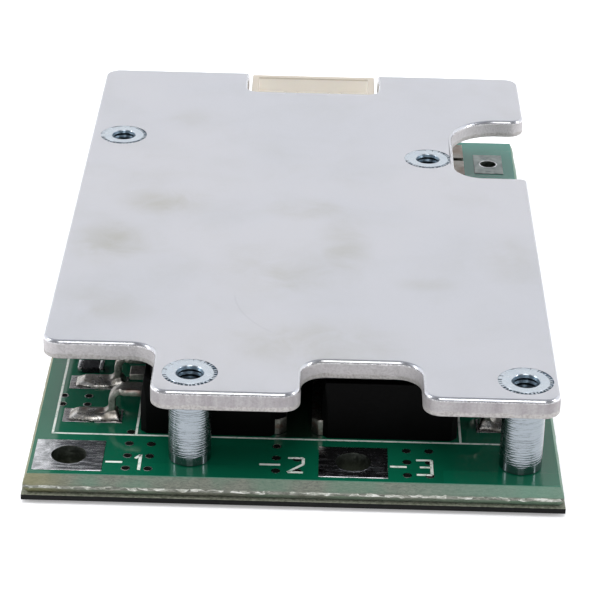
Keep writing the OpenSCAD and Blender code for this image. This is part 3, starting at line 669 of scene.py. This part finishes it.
def silk_ink(look):
    """Epoxy marking ink, screen printed: off-white, slightly worn and speckled."""
    made, tree, place = start_material("silk_ink")
    worn = add(tree, "TexNoise", [place, 1 / (0.4 * MM), 5, 0.7])
    worn = add(tree, "ValToRGB", [worn], stops=[(0.34, linear("#8FB3A2")), (0.47, linear(look.ink))])
    grain = add(tree, "TexNoise", [place, 1 / (0.15 * MM), 3, 0.6])
    bump = add(tree, "Bump", {"Height": grain, "Distance": 0.004 * MM})
    return shade(made, {"Base Color": worn, "Roughness": 0.45, "IOR": 1.5, "Normal": bump})


def hot_tin(name, colour, dull, rough, depth=0.006):
    """Tin levelled hot over copper: mirror-like, slightly wavy, with fine handling scratches."""
    made, tree, place = start_material(name)
    mottle = add(tree, "TexNoise", [place, 1 / (0.8 * MM), 4, 0.6, None, 0.4])
    tone = add(tree, "Mix", [add(tree, "MapRange", [mottle, 0.35, 0.7]), linear(colour), linear(dull)])
    lengthwise = add(tree, "Mapping", {"Vector": place, "Scale": (0.25, 2.2, 1)})
    scratch = add(tree, "TexNoise", [lengthwise, 1 / (0.6 * MM), 6, 0.8])
    scratch = add(tree, "ValToRGB", [scratch], stops=[(0.52, 0), (0.60, 1)])
    rough = add(tree, "Math", [
        add(tree, "MapRange", [mottle, 0.3, 0.7, *rough]),
        add(tree, "Math", [scratch, 0.12], "MULTIPLY")], "ADD")
    height = add(tree, "Math", [
        add(tree, "TexNoise", [place, 1 / (1.8 * MM), 2, 0.5]),
        add(tree, "Math", [scratch, 0.3], "MULTIPLY")], "ADD")
    bump = add(tree, "Bump", {"Height": height, "Distance": depth * MM})
    return shade(made, {"Base Color": tone, "Metallic": 1, "Roughness": rough, "Normal": bump})


def reflowed_solder():
    """Tin solder as it froze: bright, softly rippled, duller where the flux lay."""
    made, tree, place = start_material("reflowed_solder")
    ripple = add(tree, "TexNoise", [place, 1 / (0.7 * MM), 4, 0.6, None, 0.8])
    tone = add(tree, "Mix", [
        add(tree, "MapRange", [ripple, 0.35, 0.7]), linear("#D9D6D0"), linear("#958E84")])
    rough = add(tree, "MapRange", [ripple, 0.3, 0.75, 0.15, 0.42])
    bump = add(tree, "Bump", {"Height": ripple, "Distance": 0.05 * MM})
    return shade(made, {"Base Color": tone, "Metallic": 1, "Roughness": rough, "Normal": bump})


def tinned_frame():
    """Matt tin on a stamped copper frame, with copper showing at cut flanks."""
    made, tree, place = start_material("tinned_frame")
    grain = add(tree, "TexNoise", [place, 1 / (0.25 * MM), 4, 0.65])
    tone = add(tree, "Mix", [
        add(tree, "MapRange", [grain, 0.3, 0.7]), linear("#B9B6B0"), linear("#8D8982")])
    bare = add(tree, "TexNoise", [place, 1 / (1.1 * MM), 4, 0.6, None, 0.5])
    bare = add(tree, "ValToRGB", [bare], stops=[(0.56, 0), (0.66, 0.55)])
    tone = add(tree, "Mix", [bare, tone, linear("#9A7264")])
    rough = add(tree, "MapRange", [grain, 0.3, 0.7, 0.28, 0.45])
    bump = add(tree, "Bump", {"Height": grain, "Distance": 0.012 * MM})
    return shade(made, {"Base Color": tone, "Metallic": 1, "Roughness": rough, "Normal": bump})


def moulded_epoxy():
    """Black transfer-moulded epoxy: near black, fine spark-eroded grain, very low sheen."""
    made, tree, place = start_material("moulded_epoxy")
    grain = add(tree, "TexNoise", [place, 1 / (0.09 * MM), 3, 0.6])
    dust = add(tree, "TexNoise", [place, 1 / (0.5 * MM), 6, 0.75])
    dust = add(tree, "ValToRGB", [dust], stops=[(0.62, 0), (0.78, 0.15)])
    tone = add(tree, "Mix", [dust, linear("#040404"), linear("#222221")])
    rough = add(tree, "MapRange", [grain, 0.3, 0.7, 0.45, 0.6])
    bump = add(tree, "Bump", {"Height": grain, "Distance": 0.008 * MM})
    return shade(made, {"Base Color": tone, "Roughness": rough, "IOR": 1.55,
                        "Specular IOR Level": 0.05, "Normal": bump})


def silicone_pad():
    """Filled silicone gap pad: dull near black, slightly mottled and soft."""
    return mottled("silicone_pad", 0.2, ("#101112", "#1C1D1F"), 0.85, 0.03, (4, 0.7),
                   **{"IOR": 1.41, "Specular IOR Level": 0.2})


def black_film():
    """Black polycarbonate film: finely embossed, low sheen, with a speckled painted reflection of the
    board's edge on its open rim.
    """
    made, tree, place = start_material("black_film")
    z = add(tree, "SeparateXYZ", [place]).node.outputs["Z"]
    dust = add(tree, "TexNoise", [place, 1 / (0.7 * MM), 6, 0.75])
    dust = add(tree, "ValToRGB", [dust], stops=[(0.58, 0), (0.74, 0.3)])
    tone = add(tree, "Mix", [dust, linear("#0B0C0C"), linear("#3A3D38")])
    # painted reflection: the open rim is painted grey-green, for the board's lower edge mirrored in it
    painted_edge_reflection = add(tree, "TexNoise", [place, 1 / (0.25 * MM), 5, 0.7])
    painted_edge_reflection = add(tree, "ValToRGB", [painted_edge_reflection], stops=[(0.35, linear("#5C5F52")), (0.62, linear("#909384"))])
    rim = add(tree, "MapRange", [z, BOARD_LOW.z - 0.004 * MM, BOARD_LOW.z - 0.001 * MM])
    tone = add(tree, "Mix", [rim, tone, painted_edge_reflection])
    grain = add(tree, "TexNoise", [place, 1 / (0.18 * MM), 2, 0.5])
    rough = add(tree, "MapRange", [grain, 0.3, 0.7, 0.4, 0.6])
    bump = add(tree, "Bump", {"Height": grain, "Distance": 0.01 * MM})
    return shade(made, {"Base Color": tone, "Roughness": rough, "IOR": 1.58,
                        "Specular IOR Level": 0.12, "Normal": bump})


def cream_nylon():
    """Natural nylon, moulded: creamy, slightly translucent, with painted light inside its walls and painted
    shade on its rim.
    """
    made, tree, place = start_material("cream_nylon")
    x, y, z = add(tree, "SeparateXYZ", [place]).node.outputs
    cloud = add(tree, "TexNoise", [place, 1 / (2.5 * MM), 3, 0.5])
    tone = add(tree, "Mix", [
        add(tree, "MapRange", [cloud, 0.3, 0.7]), linear("#F1E9D8"), linear("#E8DECA")])
    # painted light: paler inside its walls, where the hollow takes less light
    centre, high = middle("header_housing"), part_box("header_housing")[1]
    inside = 1.0
    for value, at, out in ((x, centre.x, high.x), (y, centre.y, high.y)):
        away = add(tree, "Math", [add(tree, "Math", [value, at], "SUBTRACT")], "ABSOLUTE")
        wall = add(tree, "MapRange", [away, out - at - 0.5 * MM, out - at - 0.3 * MM, 1, 0])
        inside = add(tree, "Math", [wall, inside], "MULTIPLY")
    tone = add(tree, "Mix", [inside, tone, linear("#FDF8F0")])
    # painted shade: the top of the rim is painted darker, where it takes the most light
    rim = add(tree, "MapRange", [z, high.z - 0.20 * MM, high.z - 0.05 * MM])
    tone = add(tree, "Mix", [rim, tone, linear("#B9B0A3")])
    grain = add(tree, "TexNoise", [place, 1 / (0.3 * MM), 3, 0.6])
    bump = add(tree, "Bump", {"Height": grain, "Distance": 0.004 * MM})
    return shade(made, {"Base Color": tone, "Roughness": 0.42, "IOR": 1.53, "Normal": bump,
                        "Subsurface Weight": 0.12, "Subsurface Scale": 1.0,
                        "Subsurface Radius": (0.6 * MM, 0.5 * MM, 0.35 * MM)})


def glazed_resistor():
    """Black resistor glaze on white ceramic: glossy and very slightly domed."""
    return mottled("glazed_resistor", 0.2, ("#16171A", "#2C2D31"), 0.22, 0.006, upto=0.8, IOR=1.52)


def tan_ceramic():
    """Fired capacitor ceramic: matt tan with faint darker layers."""
    return mottled("tan_ceramic", 0.15, ("#B08E66", "#8D6D4A"), 0.55, 0.006,
                   stretch=(0.5, 0.5, 2), IOR=1.6)


def rolled_alloy():
    """Copper-manganese strip, rolled: brownish, with faint lines along it."""
    return mottled("rolled_alloy", 0.12, ("#8A6A55", "#6A4C3B"), (0.3, 0.45), 0.006,
                   stretch=(0.15, 1, 1), Metallic=1)


def tinned_ends():
    """Copper ends with a thin tin coat that lets a little red through."""
    return mottled("tinned_ends", 1.6, ("#85837D", "#7C6A5C"), (0.2, 0.4), 0.01, (4, 0.6),
                   upto=0.75, Metallic=1)


def nickel_screw():
    """Nickel-plated screw: warm bright metal with fine turning marks."""
    return mottled("nickel_screw", 0.25, ("#C4BFB5", "#9C978D"), (0.18, 0.32), 0.006, (4, 0.6),
                   Metallic=1)


def open_hole():
    """Painted shade: near black, for the shade down a small plated hole."""
    made, tree, place = start_material("open_hole")
    grain = add(tree, "TexNoise", [place, 1 / (0.2 * MM), 3, 0.6])
    tone = add(tree, "Mix", [grain, linear("#060706"), linear("#131714")])
    return shade(made, {"Base Color": tone, "Roughness": 0.7, "IOR": 1.5, "Specular IOR Level": 0.05})


def studio_floor(look):
    """Matt white acrylic with a little light of its own: even, with the faintest tooth."""
    made, tree, place = start_material("studio_floor")
    tooth = add(tree, "TexNoise", [place, 1 / (1.5 * MM), 3, 0.6])
    tone = add(tree, "Mix", [
        add(tree, "MapRange", [tooth, 0.3, 0.7]), linear(look.floor), linear("#EFEFF0")])
    bump = add(tree, "Bump", {"Height": tooth, "Distance": 0.01 * MM})
    return shade(made, {"Base Color": tone, "Roughness": 0.9, "IOR": 1.45, "Normal": bump,
                        "Emission Color": (1, 1, 1, 1), "Emission Strength": look.glow})


# ------------------------------------------------------------------ stage


def studio_camera(look):
    """The camera, from its place and its three turns."""
    forward = Vector((-math.sin(look.yaw) * math.cos(look.pitch),
                      math.cos(look.yaw) * math.cos(look.pitch), -math.sin(look.pitch)))
    level = Vector((math.cos(look.yaw), math.sin(look.yaw), 0))
    above = level.cross(forward)
    right = math.cos(look.roll) * level + math.sin(look.roll) * above
    up = -math.sin(look.roll) * level + math.cos(look.roll) * above
    lens = bpy.data.cameras.new("studio_camera")
    lens.lens, lens.sensor_width = look.lens, 36
    lens.clip_start, lens.clip_end = 0.005, 20
    camera = bpy.data.objects.new("studio_camera", lens)
    bpy.context.scene.collection.objects.link(camera)
    turn = Matrix((right, up, -forward)).transposed().to_4x4()
    camera.matrix_world = Matrix.Translation(Vector(look.place)) @ turn
    bpy.context.scene.camera = camera


def acrylic_floor(look):
    """A floor that slopes up behind the object and then stands as a wall, in metres."""
    width = 3
    deselect()
    bpy.ops.mesh.primitive_plane_add(size=width, location=(0, 0, 0))
    floor = bpy.context.object
    edit(floor, "EDGE")
    pick(floor, "edges", lambda e: all(v.co.y > 0.45 * width for v in e.verts))
    bpy.ops.mesh.extrude_region_move(TRANSFORM_OT_translate={"value": (0, 0.6, 0.9)})
    bpy.ops.mesh.extrude_region_move(TRANSFORM_OT_translate={"value": (0, 0, 1.5)})
    deselect()
    floor.name = floor.data.name = "acrylic_floor"
    floor.data.materials.append(studio_floor(look))


def studio_room(look):
    """Light from the walls all round, weaker from above and from behind the camera."""
    world = bpy.data.worlds.new("studio_room")
    bpy.context.scene.world = world
    world.use_nodes = True
    tree = world.node_tree
    tree.nodes.clear()
    way = add(tree, "TexCoord").node.outputs["Generated"]
    axes = add(tree, "SeparateXYZ", [way]).node.outputs
    walls = add(tree, "MapRange", [axes["Z"], 0.60, 0.95, look.sky, look.ceiling])
    share = add(tree, "MapRange", [axes["Y"], -0.5, 0.1, look.behind, 1])
    walls = add(tree, "Math", [walls, share], "MULTIPLY")
    cool = add(tree, "MapRange", [axes["Z"], -0.2, 0.9])
    tint = add(tree, "Mix", [cool, linear("#FFFFFF"), linear("#EEF2FA")])
    add(tree, "OutputWorld", [add(tree, "Background", {"Color": tint, "Strength": walls})])


def softboxes():
    """Three softboxes that show in polished faces, one overhead and one for the backdrop."""
    for name, place, target, size, power, mirrored in (
            ("front_softbox", (0.02, -0.70, 0.80), (0, 0, 0), (0.50, 0.70), 2.5, True),
            ("left_softbox", (-1.00, -0.03, 0.55), (0, 0, 0), (0.16, 0.70), 2.2, True),
            ("right_softbox", (0.98, -0.18, 0.52), (0, 0, 0), (0.12, 0.60), 2.0, True),
            ("overhead_softbox", (-0.10, 0.10, 1.00), (0, 0, 0), (1.00, 1.00), 8.5, False),
            ("backdrop_softbox", (0.0, 0.90, 1.60), (0, 2.1, 1.0), (1.60, 0.40), 5.0, False)):
        lamp = bpy.data.lights.new(name, "AREA")
        lamp.shape, lamp.energy = "RECTANGLE", power
        lamp.size, lamp.size_y = size
        softbox = bpy.data.objects.new(name, lamp)
        bpy.context.scene.collection.objects.link(softbox)
        softbox.location = place
        aim = Vector(target) - Vector(place)
        softbox.rotation_euler = aim.to_track_quat("-Z", "Y").to_euler()
        softbox.visible_glossy = mirrored


# ------------------------------------------------------------------ standoffs

# Radii of the threaded hole, the barrel, the head inside the plate and the root of the knurl
BORE, BARREL, HEAD, CROWN = 1.0 * MM, 1.55 * MM, 2.0 * MM, 1.72 * MM


def standoff_profile(look, foot, top):
    """Half of a standoff's section as (radius, height), with the thread cut into its hole."""
    under = PLATE_LOW.z
    chamfer, lead_in, groove, softened = 0.08 * MM, 0.05 * MM, 0.16 * MM, 0.03 * MM
    face = top - 0.002 * MM
    profile = [
        (BORE, foot), (BARREL - chamfer, foot), (BARREL, foot + chamfer), (BARREL, under - lead_in),
        (BARREL + lead_in, under), (HEAD, under), (HEAD, top - groove), (CROWN, top - groove),
        (CROWN, top - softened), (CROWN - softened, face), (BORE + lead_in, face), (BORE, top - lead_in)]
    crest, pitch = BORE - look.thread_depth, look.thread_pitch
    z, end = top - lead_in, top - 3.1 * MM
    while z - pitch > end:
        profile += [(crest, z - 0.42 * pitch), (crest, z - 0.55 * pitch), (BORE, z - pitch)]
        z -= pitch
    return profile


def knurl(look, centre, top, zinc, tight):
    """The teeth round a standoff's head, each of them pressed a little differently."""
    deep, width, tall = 0.30 * MM, 0.20 * MM, 0.17 * MM
    tooth = block((deep, width, tall))
    tooth.data.transform(Matrix.Translation((deep / 2, 0, 0)))
    edit(tooth, "FACE")
    pick(tooth, "faces", lambda f: f.normal.x > 0.9)
    bpy.ops.transform.resize(value=(1, 1.1, 1))
    bpy.ops.mesh.select_all(action="DESELECT")
    pick(tooth, "faces", lambda f: f.normal.z > 0.9)
    bpy.ops.mesh.inset(thickness=0.012 * MM, depth=0.006 * MM)
    deselect()
    teeth = []
    pitch = 2 * math.pi * CROWN / look.teeth
    for i in range(look.teeth):
        angle = 2 * math.pi * (i + tight.uniform(-0.18, 0.18)) / look.teeth
        # the knurl was pressed shut at one side and stayed open at the other
        shut = max(0.0, math.cos(angle - math.radians(look.shut_towards)))
        filled = min(1.25, 0.40 + shut + tight.uniform(-0.22, 0.2))
        reach = 1.0 if tight.random() < 0.5 + shut else tight.uniform(0.6, 0.9)
        z = top - (0.10 + tight.uniform(0, 0.025)) * MM
        made = duplicate(tooth, "tooth")
        made.data.materials.append(zinc)
        made.data.transform(
            Matrix.Translation((centre.x, centre.y, z)) @ Matrix.Rotation(angle, 4, "Z")
            @ Matrix.Translation((CROWN - 0.03 * MM, 0, 0))
            @ Matrix.Diagonal((reach, filled * pitch / width, 1, 1)))
        teeth.append(made)
    bpy.data.objects.remove(tooth)
    return teeth


# ------------------------------------------------------------------ operators


class BATTERYBOARD_OT_stage(bpy.types.Operator):
    """Set the camera, the floor and the soft studio light"""

    bl_idname = "batteryboard.stage"
    bl_label = "Stage"

    def execute(self, context):
        look = context.scene.stage_look
        studio_camera(look)
        acrylic_floor(look)
        studio_room(look)
        softboxes()
        context.scene.view_settings.view_transform = "Standard"
        return {"FINISHED"}


class BATTERYBOARD_OT_plate(bpy.types.Operator):
    """Round the edges of the heat plate and give it its matt finish"""

    bl_idname = "batteryboard.plate"
    bl_label = "Heat plate"

    def execute(self, context):
        look = context.scene.plate_look
        plate = copy_of("heat_plate", "heat_plate_rounded")
        centres = [middle(node).xy for node in STANDOFFS]
        corner, beside_hole = 0.5, 2.2 * MM

        def outline(z):
            """A test for the edges at one height that aren't round a standoff's hole."""
            return lambda e: e.calc_face_angle(0) > corner and all(
                abs(v.co.z - z) < 0.01 * MM and (v.co.xy - centre).length > beside_hole
                for v in e.verts for centre in centres)

        for z, radius, segments in (
                (PLATE_HIGH.z, look.top_radius, 6), (PLATE_LOW.z, look.low_radius, 3)):
            edit(plate, "EDGE")
            pick(plate, "edges", outline(z))
            bpy.ops.mesh.bevel(
                offset=radius, segments=segments, profile=0.5, affect="EDGES", loop_slide=False)
        settle(plate, "heat_plate_rounded", tumbled_aluminium(look), ("heat_plate",))
        return {"FINISHED"}


class BATTERYBOARD_OT_standoffs(bpy.types.Operator):
    """Turn the four standoffs, with their threads and pressed-in knurled heads"""

    bl_idname = "batteryboard.standoffs"
    bl_label = "Standoffs"

    def execute(self, context):
        look = context.scene.standoff_look
        zinc, thread = blue_zinc(look), bare_thread()
        tight = random.Random(11)
        for node in STANDOFFS:
            low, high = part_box(node)
            centre = middle(node)
            piece = lathe(node + "_turned", standoff_profile(look, low.z, high.z), centre)

            def in_shade(face):
                """The hole, and the groove between the knurl and the plate, which get painted shade."""
                at = face.calc_center_median()
                out = (at.xy - centre.xy).length
                return out < BORE + 0.02 * MM or (out > CROWN - 0.01 * MM and at.z > high.z - 0.2 * MM)

            # the hole and the groove get the thread material with its painted shade
            two_coats(piece, zinc, thread, in_shade)
            piece = join([piece, *knurl(look, centre, high.z, zinc, tight)])
            settle(piece, node + "_turned", zinc, (node,))
        return {"FINISHED"}


class BATTERYBOARD_OT_board(bpy.types.Operator):
    """Finish the laminate and its snapped edges"""

    bl_idname = "batteryboard.board"
    bl_label = "Laminate"

    def execute(self, context):
        coat_node("circuit_board", masked_laminate(context.scene.board_look))
        fibre = snapped_fibre()
        web_height, tuft = BOARD_LOW.z + 0.62 * MM, 0.30 * MM
        strips = []
        for seed, sign, turned in ((3, -1, False), (4, 1, False), (5, -1, True), (6, 1, True)):
            if turned:
                length, out, ragged = BOARD_HIGH.y - BOARD_LOW.y, BOARD_HIGH.x, 0.06 * MM
                place = Matrix.Translation((sign * out, 0, web_height))
                place = place @ Matrix.Rotation(math.pi / 2, 4, "Z")
            else:
                length, out, ragged = BOARD_HIGH.x - BOARD_LOW.x, BOARD_HIGH.y - 0.04 * MM, 0.14 * MM
                place = Matrix.Translation((0, sign * out, web_height))
            strip = block((length - 0.3 * MM, 0.10 * MM, 0.20 * MM))
            edit(strip, "EDGE")
            pick(strip, "edges", lambda e: abs((e.verts[0].co - e.verts[1].co).x) > length / 2)
            bpy.ops.mesh.subdivide(number_cuts=int(length / tuft))
            bpy.ops.mesh.select_all(action="SELECT")
            bpy.ops.transform.vertex_random(offset=ragged, seed=seed)
            deselect()
            strip.data.transform(place)
            strips.append(strip)
        settle(join(strips), "snapped_web", fibre)
        return {"FINISHED"}


class BATTERYBOARD_OT_print(bpy.types.Operator):
    """Print the outlines and plain marks on the board"""

    bl_idname = "batteryboard.print"
    bl_label = "Printed marks"

    def execute(self, context):
        look = context.scene.board_look
        left, right, near, far = -17.78, 17.3, 5.67, 38.5
        outline, heavy, thick = 1.0, 1.3, 0.018 * MM
        # a frame that is open at its right, and two lines inside it from front to rear
        lines = [((left - 0.07, near), (right, near), outline), ((left, near), (left, far), outline)]
        lines += [((x, near + 0.13), (x, far - 0.9), outline) for x in (-11.66, 12.12)]
        lines += [((left, far), (right, far), outline)]
        # plain minus bars beside the terminals
        lines += [((start, y), (end, y), heavy) for start, end, y in (
            (-13.56, -12.35, 1.75), (-2.5, -1.0, 1.95), (6.9, 8.1, 2.1))]
        # plain digits from straight strokes: 1, 2 and 3
        one = (((0.5, 0), (0.5, 2.1)), ((0.15, 1.6), (0.5, 2.1)))
        two = (((0, 0), (1.1, 0)), ((0, 0), (1.1, 1.15)), ((1.1, 1.15), (1.1, 2.0)), ((1.1, 2.0), (0, 2.0)))
        three = (((0, 0), (1.1, 0)), ((1.1, 0), (1.1, 2.05)), ((0.25, 1.05), (1.1, 1.05)),
                 ((1.1, 2.05), (0, 2.05)))
        for strokes, x, y in ((one, -11.6, 0.72), (two, -0.45, 0.95), (three, 8.8, 1.05)):
            lines += [((ax + x, ay + y), (bx + x, by + y), heavy) for (ax, ay), (bx, by) in strokes]
        marks = join([
            bar("stroke", on_board(*start), on_board(*end), look.ink_width * weight, thick)
            for start, end, weight in lines])
        settle(marks, "printed_marks", silk_ink(look))
        return {"FINISHED"}


class BATTERYBOARD_OT_vias(bpy.types.Operator):
    """Set the small plated holes in the board"""

    bl_idname = "batteryboard.vias"
    bl_label = "Vias"

    def execute(self, context):
        look = context.scene.board_look
        places = [(x, y) for x in (-12.05, -10.45) for y in (0.93, 2.7, 4.43)]
        places += [(-1.3, y) for y in (1.1, 2.9, 4.57)]
        places += [(0.22, y) for y in (1.15, 2.8)]
        places += [(x, y) for x in (8.13, 9.75) for y in (0.95, 2.8, 4.4)]
        places += [(-12.04, 6.1)]
        places += [(x, y) for x in (-17.5, -15.65) for y in (10.05, 11.35)]
        shifts = [on_board(x, y, 0) for x, y in places]
        origin, steps = Vector((0, 0, 0)), 20
        rim, hole = look.via_rim, look.via_hole
        flank = rim - 0.05 * MM
        # sections as (radius, height over the board)
        ring = ((hole, -0.02), (rim, -0.02), (rim, 0.006), (flank, 0.022), (hole, 0.016))
        # painted shade: a near black disc over each via stands for the shade down its open hole
        shade_disc = ((0, 0.002), (0, 0.004), (hole * 0.6, 0.004), (hole * 1.02, 0.012), (hole * 1.02, 0.002))
        rims, shade_discs = [
            lathe(name, [(r, Z_BOARD + up * MM) for r, up in section], origin, steps)
            for name, section in (("via_rims", ring), ("via_wells", shade_disc))]
        rims, shade_discs = repeat(rims, shifts), repeat(shade_discs, shifts)
        settle(rims, "via_rims", hot_tin("via_tin", "#B4B1A6", "#BEBFC2", (0.12, 0.3)))
        settle(shade_discs, "via_wells", open_hole())
        return {"FINISHED"}


class BATTERYBOARD_OT_terminals(bpy.types.Operator):
    """Round the tinned terminal pads and line their holes"""

    bl_idname = "batteryboard.terminals"
    bl_label = "Terminals"

    def execute(self, context):
        tin = hot_tin("terminal_tin", "#E0E1E4", "#A3A6A8", (0.08, 0.26), 0.012)
        pads = copy_of("terminal_pads", "terminal_pads_tinned")
        bevel(pads, 0.035 * MM, 3)
        # painted shade: the rear pad, in the plate's window, gets a darker, greener copy of the tin
        shaded_rear_tin = hot_tin("handled_tin", "#969D9B", "#7C8482", (0.30, 0.48), 0.01)
        two_coats(pads, tin, shaded_rear_tin, lambda f: f.calc_center_median().y > 0)
        settle(pads, "terminal_pads_tinned", tin, ("terminal_pads",), 10)
        foot, top = BOARD_LOW.z + 0.02 * MM, PAD_HIGH.z
        # a lining's corners over the pad, as (out from the hole's edge, up from the pad's top)
        lip = ((-0.04, -0.03), (-0.02, 0.012), (0.03, 0.018), (0.08, 0.006), (0.08, -0.01), (-0.002, -0.01))
        linings = []
        for name, radius in (("terminal_left", 1.3), ("terminal_middle", 1.3), ("terminal_rear", 0.75)):
            edge = radius * MM
            profile = [(edge - 0.002 * MM, foot), (edge - 0.04 * MM, foot)]
            profile += [(edge + out * MM, top + up * MM) for out, up in lip]
            linings.append(lathe("lining", profile, MOUNTS[name], 56))
        lined = join(linings)
        # painted shade: the holes' walls get a dark copy of the tin
        wall = hot_tin("plated_wall", "#6A6F68", "#41463F", (0.3, 0.55), 0.03)
        two_coats(lined, wall, tin, lambda f: f.calc_center_median().z > top - 0.005 * MM)
        settle(lined, "terminal_linings", tin)
        return {"FINISHED"}


class BATTERYBOARD_OT_power(bpy.types.Operator):
    """Finish the power transistors, their leads, solder and thermal pad"""

    bl_idname = "batteryboard.power"
    bl_label = "Power transistors"

    def execute(self, context):
        tinned = tinned_frame()
        round_off("mosfet_bodies", "moulded", moulded_epoxy(), 0.07, 2, 20)
        round_off("mosfet_tabs", "stamped", tinned, 0.06)
        round_off("mosfet_leads", "formed", tinned, 0.06)
        lands = copy_of("lead_lands", "lead_lands_tinned")
        places = islands(lands)
        bevel(lands, 0.03 * MM)
        tin = hot_tin("land_tin", "#B9B4B2", "#BEBFC2", (0.18, 0.34))
        settle(lands, "lead_lands_tinned", tin, ("lead_lands",), 10)
        # a lens of solder on each land, fused with the plain mounds and smoothed
        mounds = [copy_of("lead_solder", "lead_solder_reflowed")]
        for low, high in places:
            deselect()
            bpy.ops.mesh.primitive_uv_sphere_add(segments=32, ring_count=16, radius=1)
            lens = context.object
            lens.location = ((low.x + high.x) / 2, (low.y + high.y) / 2 - 0.12 * MM, high.z)
            lens.scale = (1.60 * MM, 0.86 * MM, 0.47 * MM)
            bpy.ops.object.transform_apply(location=True, rotation=True, scale=True)
            mounds.append(lens)
        mounds = join(mounds)
        for kind, values in (("REMESH", {"mode": "VOXEL", "voxel_size": 0.08 * MM}),
                             ("SMOOTH", {"factor": 0.5, "iterations": 30}),
                             ("DISPLACE", {"strength": 0.06 * MM, "mid_level": 0.0})):
            made = mounds.modifiers.new(kind, kind)
            for key, value in values.items():
                setattr(made, key, value)
            bpy.ops.object.modifier_apply(modifier=made.name)
        edit(mounds, "FACE")
        bpy.ops.mesh.select_all(action="SELECT")
        bpy.ops.mesh.bisect(plane_co=(0, 0, places[0][1].z - 0.01 * MM), plane_no=(0, 0, 1),
                            clear_inner=True, use_fill=True)
        settle(mounds, "lead_solder_reflowed", reflowed_solder(), ("lead_solder",))
        round_off("thermal_pad", "soft", silicone_pad(), 0.15, 3)
        return {"FINISHED"}


class BATTERYBOARD_OT_small_parts(bpy.types.Operator):
    """Finish the chips, shunts, diode, header, screws and sheet"""

    bl_idname = "batteryboard.small_parts"
    bl_label = "Small parts"

    def execute(self, context):
        epoxy, tinned = bpy.data.materials["moulded_epoxy"], bpy.data.materials["tinned_frame"]
        glaze, tin = glazed_resistor(), hot_tin("chip_tin", "#C4C4C4", "#BEBFC2", (0.14, 0.28))
        for node, material, slot, width in (
                ("gate_resistors", glaze, "resistor_glaze", 0.04),
                ("balance_resistors", glaze, "resistor_glaze", 0.04),
                ("filter_resistors", glaze, "resistor_glaze", 0.03),
                ("filter_capacitors", tan_ceramic(), "ceramic_tan", 0.04),
                ("chip_ends", tin, "tinned_copper", 0.05),
                ("small_transistors", epoxy, "mould_compound", 0.06),
                ("transistor_leads", tinned, "tinned_frame", 0.02),
                ("controller_body", epoxy, "mould_compound", 0.08),
                ("controller_leads", tinned, "tinned_frame", 0.03),
                ("sense_shunts", rolled_alloy(), "shunt_alloy", 0.04),
                ("shunt_ends", tinned_ends(), "copper_end", 0.05),
                ("surge_diode", epoxy, "mould_compound", 0.09),
                ("diode_leads", tinned, "tinned_frame", 0.03),
                ("header_housing", cream_nylon(), "nylon_cream", 0.09),
                ("header_pins", tinned, "tinned_frame", 0.06),
                ("board_screws", nickel_screw(), "nickel_screw", 0.08)):
            round_off(node, "finished", material, width)
        coat_node("insulating_sheet", black_film())
        return {"FINISHED"}


STEPS = (
    BATTERYBOARD_OT_stage, BATTERYBOARD_OT_plate, BATTERYBOARD_OT_standoffs, BATTERYBOARD_OT_board,
    BATTERYBOARD_OT_print, BATTERYBOARD_OT_vias, BATTERYBOARD_OT_terminals, BATTERYBOARD_OT_power,
    BATTERYBOARD_OT_small_parts)
LOOKS = {
    "plate_look": PlateLook, "standoff_look": StandoffLook, "board_look": BoardLook,
    "stage_look": StageLook}


class BATTERYBOARD_PT_panel(bpy.types.Panel):
    """Lists the sizes, the colours and the steps"""

    bl_idname = "BATTERYBOARD_PT_panel"
    bl_label = "Battery board"
    bl_space_type = "VIEW_3D"
    bl_region_type = "UI"
    bl_category = "Battery board"

    def draw(self, context):
        for key, group in LOOKS.items():
            box = self.layout.box()
            box.label(text=key.replace("_", " ").capitalize())
            for name in group.__annotations__:
                box.prop(getattr(context.scene, key), name)
        for step in STEPS:
            self.layout.operator(step.bl_idname)


def register():
    for group in LOOKS.values():
        bpy.utils.register_class(group)
    for step in (*STEPS, BATTERYBOARD_PT_panel):
        bpy.utils.register_class(step)
    for key, group in LOOKS.items():
        setattr(bpy.types.Scene, key, PointerProperty(type=group))


def unregister():
    for key in LOOKS:
        delattr(bpy.types.Scene, key)
    for step in reversed((*STEPS, BATTERYBOARD_PT_panel)):
        bpy.utils.unregister_class(step)
    for group in reversed(list(LOOKS.values())):
        bpy.utils.unregister_class(group)


def main():
    register()
    for step in STEPS:
        group, name = step.bl_idname.split(".")
        getattr(getattr(bpy.ops, group), name)()


if __name__ == "__main__":
    main()
